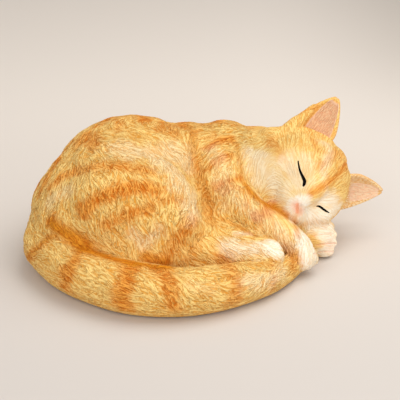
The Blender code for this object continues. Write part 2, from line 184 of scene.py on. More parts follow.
def colour(red, green, blue):  # from 0 to 255 as a screen shows it
    return tuple(((c / 255 + 0.055) / 1.055) ** 2.4 if c > 10 else c / 3294.6 for c in (red, green, blue))


# Mesh tools
def objectFrom(bm, name):
    bmesh.ops.recalc_face_normals(bm, faces=bm.faces)
    mesh = bpy.data.meshes.new(name)
    bm.to_mesh(mesh)
    bm.free()
    obj = bpy.data.objects.new(name, mesh)
    bpy.context.scene.collection.objects.link(obj)
    return obj


def settle(obj):  # keep what the modifiers make
    bpy.context.view_layer.update()
    made = bpy.data.meshes.new_from_object(obj.evaluated_get(bpy.context.evaluated_depsgraph_get()))
    old = obj.data
    obj.modifiers.clear()
    obj.data = made
    bpy.data.meshes.remove(old)
    return obj


def soften(obj, rounds):
    modifier = obj.modifiers.new("soften", "SMOOTH")
    modifier.factor = 0.5
    modifier.iterations = rounds
    return settle(obj)


roundness = 48      # segments of the large balls, the small ones have half
limbSteps = 8       # places between two points of a limb
lineSteps = 6       # places between two corners of a painted line


def ball(bm, centre, sizes, turn=None, segments=roundness):
    place = Matrix.Translation(Vector(centre)) @ (turn or Matrix()) @ Matrix.Diagonal((*sizes, 1.0))
    bmesh.ops.create_uvsphere(bm, u_segments=segments, v_segments=segments // 2, radius=1.0, matrix=place)


def smoothLine(points, steps):  # a smooth curve through the points
    points = [Vector(point) for point in points]
    ends = [points[0] * 2 - points[1]] + points + [points[-1] * 2 - points[-2]]
    line = []
    for a, b, c, d in zip(ends, ends[1:], ends[2:], ends[3:]):
        for step in range(steps):
            t = step / steps
            line.append(((b * 2) + (c - a) * t + (a * 2 - b * 5 + c * 4 - d) * t ** 2
                         + (b * 3 - a - c * 3 + d) * t ** 3) * 0.5)
    line.append(points[-1])
    return line


def limb(bm, line, place=None):  # a tapering tube with a ball at each end
    points = smoothLine(line, limbSteps)
    curve = bpy.data.curves.new("limb", "CURVE")
    curve.dimensions = "3D"
    curve.bevel_depth = 1.0
    curve.bevel_resolution = 8
    curve.use_fill_caps = True
    spline = curve.splines.new("POLY")
    spline.points.add(len(points) - 1)
    for spot, point in zip(spline.points, points):
        spot.co = (*point[:3], 1.0)
        spot.radius = point[3]
    path = bpy.data.objects.new("limb", curve)
    bpy.context.scene.collection.objects.link(path)
    tube = bpy.data.meshes.new_from_object(path)
    place = place or Matrix()
    tube.transform(place)
    bm.from_mesh(tube)
    bpy.data.objects.remove(path)
    bpy.data.meshes.remove(tube)
    for point in (points[0], points[-1]):
        ball(bm, (0.0, 0.0, 0.0), (point[3],) * 3, place @ Matrix.Translation(point[:3]), roundness // 2)


def wrap(name, bm, voxel, rounds):  # one smooth skin over overlapping forms
    obj = objectFrom(bm, name)
    remesh = obj.modifiers.new("skin", "REMESH")
    remesh.mode = "VOXEL"
    remesh.voxel_size = voxel
    return soften(obj, rounds)


def numbersOf(data, field, width):  # a row of numbers for each point
    found = np.empty(len(data) * width, dtype=np.float32)
    data.foreach_get(field, found)
    return found.reshape(-1, width).astype(np.float64)


def pointsOf(obj):
    return numbersOf(obj.data.vertices, "co", 3)


def normalsOf(obj):
    return numbersOf(obj.data.vertices, "normal", 3)


def moveTo(obj, points):
    obj.data.vertices.foreach_set("co", np.asarray(points, dtype=np.float32).ravel())
    obj.data.update()


def store(obj, name, values):  # numbers or directions, one for each point
    values = np.asarray(values, dtype=np.float32)
    kind, field = ("FLOAT", "value") if values.ndim == 1 else ("FLOAT_VECTOR", "vector")
    layer = obj.data.attributes.get(name) or obj.data.attributes.new(name, kind, "POINT")
    layer.data.foreach_set(field, values.ravel())


def take(obj, name):  # the stored numbers, which the mesh doesn't keep
    layer = obj.data.attributes[name]
    found = numbersOf(layer.data, "value", 1)[:, 0]
    obj.data.attributes.remove(layer)
    return found


def treeOf(obj):
    mesh = obj.data
    return BVHTree.FromPolygons([v.co for v in mesh.vertices], [tuple(f.vertices) for f in mesh.polygons])


def easeIn(values, low, high):
    share = np.clip((values - low) / (high - low), 0.0, 1.0)
    return share * share * (3 - 2 * share)


def unit(rows):
    return rows / np.maximum(np.linalg.norm(rows, axis=1), 1e-9)[:, None]


def turned(ways, out, angles):  # directions on the skin, turned by these angles about its normals
    angles = angles[:, None]
    return ways * np.cos(angles) + np.cross(out, ways) * np.sin(angles)


# The castings' smooth forms
figureShift = Matrix.Translation((-0.0063, 0.0055, 0.0))  # the middle of the footprint is the origin
restHeight = 0.0015

trunk = {
    "voxel": 0.0016,
    "rounds": 73,
    "masses": {  # centre, half-sizes, turn about Y in degrees
        "rump": ((-0.084, 0.01, 0.036), (0.0582, 0.069, 0.0602), 0.0),
        "loin": ((-0.057, 0.036, 0.05), (0.07, 0.062, 0.063), 0.0),
        "flank": ((-0.04, 0.018, 0.062), (0.04, 0.044, 0.047), 0.0),
        "ribs": ((-0.012, 0.045, 0.048), (0.06, 0.055, 0.055), 0.0),
        "shoulder": ((0.021, 0.046, 0.052), (0.038, 0.05, 0.054), 0.0),
        "belly": ((-0.014, 0.008, 0.02), (0.066, 0.056, 0.036), 0.0),
        "haunch": ((-0.062, 0.006, 0.06), (0.058, 0.052, 0.049), 0.0),
        "crest": ((-0.022, 0.026, 0.0795), (0.026, 0.028, 0.03), 0.0),
        "thigh": ((-0.055, -0.022, 0.057), (0.058, 0.046, 0.048), 8.0),
        "knee": ((-0.02, -0.036, 0.048), (0.023, 0.028, 0.034), 0.0),
        "hock": ((-0.048, -0.044, 0.032), (0.046, 0.027, 0.025), 0.0),
        "fold": ((0.004, -0.05, 0.01), (0.056, 0.026, 0.015), 0.0),
    },
    "lines": {  # places on their middle lines, each with the radius there
        "tailRoot": ((-0.11, 0.014, 0.06, 0.022), (-0.1205, 0.014, 0.046, 0.0215),
                     (-0.1245, 0.012, 0.031, 0.0205), (-0.125, 0.01, 0.022, 0.02)),
        "bellyFur": ((0.0, -0.028, 0.036, 0.018), (0.02, -0.03, 0.034, 0.015), (0.038, -0.031, 0.031, 0.012),
                     (0.054, -0.03, 0.027, 0.0085)),
        "armpit": ((0.008, -0.006, 0.074, 0.012), (0.01, -0.0065, 0.058, 0.0125),
                   (0.012, -0.013, 0.047, 0.0125), (0.018, -0.02, 0.04, 0.012)),
        "upperArm": ((0.012, 0.04, 0.078, 0.024), (0.017, 0.018, 0.076, 0.0215), (0.024, 0.001, 0.067, 0.017),
                     (0.03, -0.007, 0.057, 0.0148)),
    },
}


# Room for the base plate; low and seam are how near the floor and the plate's edge a point has to be
rebate = {"middle": (-0.0423, 0.0175), "half": (0.0604, 0.0364), "top": 0.0058, "low": 0.0004, "seam": 0.010}


def sinkRebate(points):  # lift the floor of the body above the plate
    middle, half = np.array(rebate["middle"]), np.array(rebate["half"])
    spot = (points[:, :2] - middle) / half
    share = np.linalg.norm(spot, axis=1)
    low = points[:, 2] < restHeight + rebate["low"]
    edge = low & (np.abs(share - 1.0) < rebate["seam"])
    points[edge, :2] = middle + spot[edge] / share[edge, None] * half
    points[low & ~edge & (share < 1.0), 2] = rebate["top"]
    return points


def makeTrunk():
    bm = bmesh.new()
    for centre, sizes, turn in trunk["masses"].values():
        ball(bm, centre, sizes, Matrix.Rotation(math.radians(turn), 4, "Y"))
    for line in trunk["lines"].values():
        limb(bm, line)
    return wrap("body_casting", bm, trunk["voxel"], trunk["rounds"])


tailForm = {
    "voxel": 0.0014,
    "rounds": 20,
    "line": ((-0.098, 0.034, 0.026, 0.017), (-0.12, 0.012, 0.024, 0.0215), (-0.1245, -0.012, 0.0225, 0.023),
             (-0.117, -0.032, 0.0215, 0.0225), (-0.103, -0.052, 0.021, 0.022),
             (-0.085, -0.068, 0.0205, 0.0215), (-0.06, -0.083, 0.02, 0.0213),
             (-0.036, -0.0895, 0.0197, 0.0208), (-0.01, -0.0895, 0.0185, 0.0195),
             (0.014, -0.082, 0.0178, 0.0188), (0.034, -0.071, 0.0163, 0.0172), (0.052, -0.058, 0.014, 0.015),
             (0.066, -0.042, 0.0115, 0.0125), (0.074, -0.03, 0.01, 0.011)),
}


def makeTail():
    bm = bmesh.new()
    limb(bm, tailForm["line"])
    return wrap("tail_casting", bm, tailForm["voxel"], tailForm["rounds"])


legForms = {
    "voxel": 0.001,
    "rounds": 7,
    "toes": 4,
    "toeWidth": 0.46,               # a toe's radius as a share of its paw's
    "toeShape": (0.72, 0.9, 1.15),  # length as a share of the paw's radius, width and height of the toe's
    "toeStep": 1.08,                # from one toe to the next, in its radii
    "toeBack": 0.33,                # how far the outer toes stand back
    "right_hind_foot": {
        "toeReach": 0.52,
        "across": (0.0, 1.0, 0.0),
        "ahead": (1.0, 0.0, -0.15),
        "line": ((-0.018, -0.044, 0.0285, 0.0148), (0.004, -0.044, 0.0285, 0.0135),
                 (0.024, -0.044, 0.0285, 0.0124), (0.044, -0.044, 0.0288, 0.012),
                 (0.0545, -0.044, 0.0285, 0.012)),
    },
    "right_foreleg": {
        "toeReach": 0.42,
        "across": (0.9, 0.3, 0.0),
        "ahead": (0.25, -0.45, -0.85),
        "line": ((0.031, -0.009, 0.0565, 0.0155), (0.0405, -0.013, 0.0505, 0.0145),
                 (0.051, -0.0155, 0.0448, 0.0135), (0.063, -0.018, 0.0375, 0.0127),
                 (0.074, -0.0215, 0.0285, 0.0125), (0.0815, -0.0255, 0.0205, 0.0128),
                 (0.0835, -0.0275, 0.0165, 0.0122)),
    },
    "left_foreleg": {
        "toeReach": 0.58,
        "across": (0.0, 0.45, 0.9),
        "ahead": (1.0, 0.05, -0.05),
        "line": ((0.044, 0.004, 0.019, 0.014), (0.074, 0.005, 0.0175, 0.014), (0.092, 0.006, 0.016, 0.0145),
                 (0.0995, 0.007, 0.0155, 0.0138)),
    },
}


def makeLeg(name):
    leg = legForms[name]
    bm = bmesh.new()
    limb(bm, leg["line"])
    *end, radius = leg["line"][-1]
    ahead = Vector(leg["ahead"]).normalized()
    across = Vector(leg["across"])
    across = (across - ahead * across.dot(ahead)).normalized()
    turn = Matrix((ahead, across, ahead.cross(across))).transposed().to_4x4()
    toe = radius * legForms["toeWidth"]
    length, width, height = legForms["toeShape"]
    for n in range(legForms["toes"]):
        side = (n - (legForms["toes"] - 1) / 2) * toe * legForms["toeStep"]
        reach = radius * leg["toeReach"] - abs(side) * legForms["toeBack"]
        place = Vector(end) + ahead * reach + across * side
        ball(bm, place, (radius * length, toe * width, toe * height), turn, roundness // 2)
    return wrap(name + "_casting", bm, legForms["voxel"], legForms["rounds"])


headForm = {
    "centre": (0.079, 0.03, 0.053),
    # degrees about X, Y and Z; then +X is the nose, +Y the cat's left, +Z the crown
    "turn": (-63.7, -12.2, -74.8),
    "scale": 1.02,
    "noseTip": (0.044, 0.0, -0.010),
    "broadVoxel": 0.0025,
    "broadRounds": 25,
    "voxel": 0.0013,
    "rounds": 15,
    "middle": {
        "cranium": ((-0.004, 0.0, 0.01), (0.04, 0.043, 0.04)),
        "crown": ((-0.004, 0.0, 0.02), (0.028, 0.021, 0.0335)),
        "brow": ((0.014, 0.0, 0.016), (0.022, 0.03, 0.022)),
        "face": ((0.012, 0.0, -0.008), (0.027, 0.033, 0.025)),
    },
    "pairs": {
        "cheek": ((0.006, 0.018, -0.013), (0.026, 0.024, 0.024)),
        "earRoot": ((-0.013, 0.029, 0.024), (0.013, 0.013, 0.013)),
        "temple": ((0.014, 0.024, 0.004), (0.018, 0.014, 0.016)),
    },
    "neck": {
        "nape": ((0.05, 0.053, 0.05), (0.036, 0.044, 0.047)),
        "neck": ((0.07, 0.048, 0.05), (0.034, 0.04, 0.044)),
        "throat": ((0.054, 0.024, 0.047), (0.031, 0.035, 0.042)),
        "neckBase": ((0.062, 0.038, 0.022), (0.036, 0.04, 0.024)),
    },
    "faceMiddle": {
        "muzzle": ((0.0285, 0.0, -0.014), (0.015, 0.019, 0.013)),
        "chin": ((0.027, 0.0, -0.024), (0.011, 0.013, 0.01)),
        "nose": ((0.042, 0.0, -0.01), (0.004, 0.006, 0.0045)),
    },
    "facePairs": {
        "whiskerPad": ((0.0325, 0.0065, -0.015), (0.01, 0.009, 0.009)),
        "eyelid": ((0.0255, 0.0185, 0.005), (0.009, 0.014, 0.01)),
    },
    "noseBridge": ((0.024, 0.0, 0.018, 0.012), (0.034, 0.0, 0.004, 0.0098), (0.039, 0.0, -0.007, 0.007)),
    # fur that runs from the neck up the back edge of the right ear
    "earSlope": ((0.0593, 0.0445, 0.0894, 0.012), (0.0714, 0.0465, 0.0926, 0.0097),
                 (0.0785, 0.0495, 0.0993, 0.0062), (0.0853, 0.054, 0.1045, 0.004),
                 (0.0918, 0.058, 0.1093, 0.0027), (0.098, 0.0615, 0.1142, 0.0016)),
}


def headPlace():
    x, y, z = (Matrix.Rotation(math.radians(angle), 4, axis) for angle, axis in zip(headForm["turn"], "XYZ"))
    return Matrix.Translation(headForm["centre"]) @ z @ y @ x @ Matrix.Scale(headForm["scale"], 4)


def headMasses(bm, middle, pairs):
    both = [((x, y * side, z), sizes) for (x, y, z), sizes in pairs.values() for side in (1, -1)]
    for centre, sizes in [*middle.values(), *both]:
        ball(bm, (0.0, 0.0, 0.0), sizes, headPlace() @ Matrix.Translation(centre))


def makeHead():
    bm = bmesh.new()
    headMasses(bm, headForm["middle"], headForm["pairs"])
    for centre, sizes in headForm["neck"].values():
        ball(bm, centre, sizes)
    broad = wrap("broad_head", bm, headForm["broadVoxel"], headForm["broadRounds"])
    bm = bmesh.new()
    bm.from_mesh(broad.data)
    bpy.data.objects.remove(broad)
    headMasses(bm, headForm["faceMiddle"], headForm["facePairs"])
    limb(bm, headForm["noseBridge"], headPlace())
    limb(bm, headForm["earSlope"])
    return wrap("head_casting", bm, headForm["voxel"], headForm["rounds"])


earForm = {
    "base": (-0.002, 0.029, 0.033),  # middle of the foot, in the head's axes
    "width": 0.0385,
    "cup": 0.0095,
    "thickness": 0.0028,
    "root": 0.012,                   # length that is let into the head
    "rootTaper": 0.5,
    "taper": (1.42, 0.80),           # powers that give the ear's outline from root to tip
    "foot": (0.10, 0.3),             # how much narrower the root is, and up to which share of its height
    "skew": 0.12,
    "opening": 23.0,                 # degrees that the hollow looks outward
    "lean": -6.0,                    # degrees backward
    "columns": 56,
    "rows": 72,
    "rounds": 4,
    "facing": (0.05, 0.45),          # how far forward the skin has to look to be pink
    "bandEdge": 0.12,
    "pinkTop": (0.84, 0.97),
    "stripeAcross": (0.05, 0.45),    # the striped half, across the ear and up it
    "stripeUp": (0.5, 0.85),
    "rimAcross": (0.86, 1.0),
    "rimUp": (0.96, 1.0),
    "calmAcross": (0.80, 0.95),      # where the fine hairs fade out
    "calmUp": (0.80, 0.94),
    "fanRoot": (0.010, 0.014),       # how far below the foot the hairs fan out from, carved and painted
    "hairs": (((30.0, 130.0, 3.0), 1.0), ((60.0, 220.0, 7.0), 0.5)),  # around, along and seed; share of each
    "hairDepth": 0.00035,
    "right_ear": {
        "side": -1,
        "height": 0.0400,
        "shift": -0.0010,
        "splay": 19.0,               # degrees
        "pinkFrom": (-0.006, 0.004),
        "pinkTo": (0.68, 0.88),
        "furBand": (0.32, 0.24),     # share of the upper half that is bare at the root, and how it widens
    },
    "left_ear": {
        "side": 1,
        "height": 0.0397,
        "shift": -0.0012,
        "splay": 33.0,
        "pinkFrom": (0.007, 0.017),
        "pinkTo": (0.50, 0.72),
        "furBand": (0.12, 0.60),
    },
}


def earPlace(name):
    side, splay = earForm[name]["side"], earForm[name]["splay"]
    x, y, z = earForm["base"]
    return (headPlace() @ Matrix.Translation((x, y * side, z))
            @ Matrix.Rotation(math.radians(-splay * side), 4, "X")
            @ Matrix.Rotation(math.radians(earForm["lean"]), 4, "Y")
            @ Matrix.Rotation(math.radians(earForm["opening"] * side), 4, "Z"))


def earHalfWidth(share):  # at each share of its height
    outer, inner = earForm["taper"]
    less, upTo = earForm["foot"]
    taper = np.maximum(1.0 - share ** outer, 0.0) ** inner * (1.0 - less + less * easeIn(share, 0.0, upTo))
    return earForm["width"] / 2 * taper + earForm["thickness"] * 0.25


def makeEar(name):
    own = earForm[name]
    side, height, middle = own["side"], own["height"], own["shift"]
    width, root, thick = earForm["width"], earForm["root"], earForm["thickness"]
    bm = bmesh.new()
    bmesh.ops.create_grid(bm, x_segments=earForm["columns"], y_segments=earForm["rows"], size=0.5)
    for vert in bm.verts:
        across = vert.co.x * 2
        rise = (vert.co.y + 0.5) * (height + root) - root
        share = max(rise, 0.0) / height
        half = float(earHalfWidth(share)) * (1.0 - earForm["rootTaper"] * max(-rise / root, 0.0))
        bow = earForm["cup"] * (1.0 - across ** 2) * (half / (width / 2))
        lift = rise - earForm["skew"] * width * across * (1.0 - share)
        vert.co = Vector((-bow, across * half * side + middle, lift))
    ear = objectFrom(bm, name + "_casting")
    shell = ear.modifiers.new("shell", "SOLIDIFY")
    shell.thickness = thick
    shell.offset = 0.0
    soften(ear, earForm["rounds"])
    # pink hollow, with a furred band on its upper side, and fine hairs that fan out from the root
    points, out = pointsOf(ear), normalsOf(ear)
    rise = points[:, 2]
    share = np.clip(rise / height, 0.0, 1.0)
    signed = (points[:, 1] - middle) / (earHalfWidth(share) + thick * 0.5)
    across = np.abs(signed)
    bare, widening = own["furBand"]
    hollow = easeIn(out[:, 0], *earForm["facing"]) * (1 - easeIn(signed, *own["pinkTo"]))
    hollow *= easeIn(signed + bare + share * widening, -earForm["bandEdge"], earForm["bandEdge"])
    hollow *= (1 - easeIn(share, *earForm["pinkTop"])) * easeIn(rise, *own["pinkFrom"])
    carvedRoot, paintedRoot = earForm["fanRoot"]
    fan = np.arctan2(points[:, 1], rise + carvedRoot)
    hairs = 0.0
    for (around, along, seed), part in earForm["hairs"]:
        grain = [softNoise((a * around, r * along, side * seed)) for a, r in zip(fan, rise)]
        hairs = hairs + part * np.array(grain)
    calm = (1 - easeIn(share, *earForm["calmUp"])) * (1 - easeIn(across, *earForm["calmAcross"]))
    moveTo(ear, points + out * (hairs * earForm["hairDepth"] * calm)[:, None])
    store(ear, "pink", hollow)
    striped = (1 - hollow) * easeIn(-signed, *earForm["stripeAcross"])
    store(ear, "band", striped * (1 - easeIn(share, *earForm["stripeUp"])))
    store(ear, "rim", easeIn(across, *earForm["rimAcross"]) + easeIn(share, *earForm["rimUp"]))
    way = unit(np.stack([np.zeros(len(points)), points[:, 1], rise + paintedRoot], 1))
    store(ear, "way", way @ np.array(earPlace(name).to_3x3().normalized().transposed()))
    ear.data.transform(earPlace(name))
    return ear


skins = {"body": makeTrunk(), "tail": makeTail(), "head": makeHead()}
for name in ("right_hind_foot", "right_foreleg", "left_foreleg"):
    skins[name] = makeLeg(name)
for name in ("right_ear", "left_ear"):
    skins[name] = makeEar(name)
for skin in skins.values():
    skin.data.transform(figureShift)
report("smooth forms, %d points" % sum(len(skin.data.vertices) for skin in skins.values()))


# Soft fillets where castings meet
fillets = {  # pair of castings and how far from their seam the fillet starts
    ("body", "tail"): 0.005,
    ("body", "right_hind_foot"): 0.011,
    ("body", "right_foreleg"): 0.013,
    ("body", "left_foreleg"): 0.006,
    ("body", "head"): 0.008,
    ("head", "left_foreleg"): 0.003,
    ("head", "right_foreleg"): 0.003,
    ("head", "right_ear"): 0.009,
    ("head", "left_ear"): 0.009,
    ("tail", "right_hind_foot"): 0.005,
    ("tail", "right_foreleg"): 0.002,
}
filletDepth = 0.004  # how deep inside the other casting it still counts
filletRise = 0.25    # how high it is at the seam, as a share of how far off it starts


def gapTo(points, tree, reach):  # how far outside the other casting each point lies, below 0 inside it
    gaps = np.full(len(points), 1.0)
    for n, point in enumerate(points):
        spot, out, _, far = tree.find_nearest(point, reach)
        if spot is not None:
            gaps[n] = far if (Vector(point) - spot).dot(out) > 0 else -far
    return gaps


def addFillets():
    trees = {name: treeOf(skin) for name, skin in skins.items()}
    for name, skin in skins.items():
        if name.endswith("ear"):
            continue
        points, out = pointsOf(skin), normalsOf(skin)
        lift = np.zeros(len(points))
        for pair, reach in fillets.items():
            if name not in pair:
                continue
            other = pair[0] if pair[1] == name else pair[1]
            gaps = gapTo(points, trees[other], reach)
            near = np.clip(1.0 - np.maximum(gaps, 0.0) / reach, 0.0, 1.0)
            near *= np.clip(1.0 + gaps / filletDepth, 0.0, 1.0)
            lift = np.maximum(lift, near ** 2 * reach * filletRise)
        points = points + out * lift[:, None]
        points[:, 2] = np.maximum(points[:, 2], restHeight)
        moveTo(skin, points)


addFillets()
trees = {name: treeOf(skin) for name, skin in skins.items()}
report("fillets")


# Places are given on the photograph in pixels, or on a side view in metres. Each side view looks along an
# axis, from a place on it.
sideViews = {"rear": (1, 0.5), "top": (2, 0.5), "headEnd": (0, 0.5), "rumpEnd": (0, -0.5)}


def pointAt(view, a, b):  # the place on the cat's skin
    if view == "photo":
        start, way = photoRay(a, b)
    else:
        axis, place = sideViews[view]
        start, way = [a, b], Vector()
        start.insert(axis, place)
        start = Vector(start)
        way[axis] = -math.copysign(1.0, place)
    hits = [tree.ray_cast(start, way) for tree in trees.values()]
    if all(hit[0] is None for hit in hits):  # just outside the outline, so the nearest place on the cat
        reach = (Vector(shot["target"]) - start).dot(way)
        hits = [tree.find_nearest(start + way * reach) for tree in trees.values()]
    return min((hit for hit in hits if hit[0] is not None), key=lambda hit: hit[3])[0]


def markLine(view, corners):  # a painted line as closely spaced places on the skin
    return np.array([pointAt(view, a, b) for a, b in smoothLine(corners, lineSteps)])


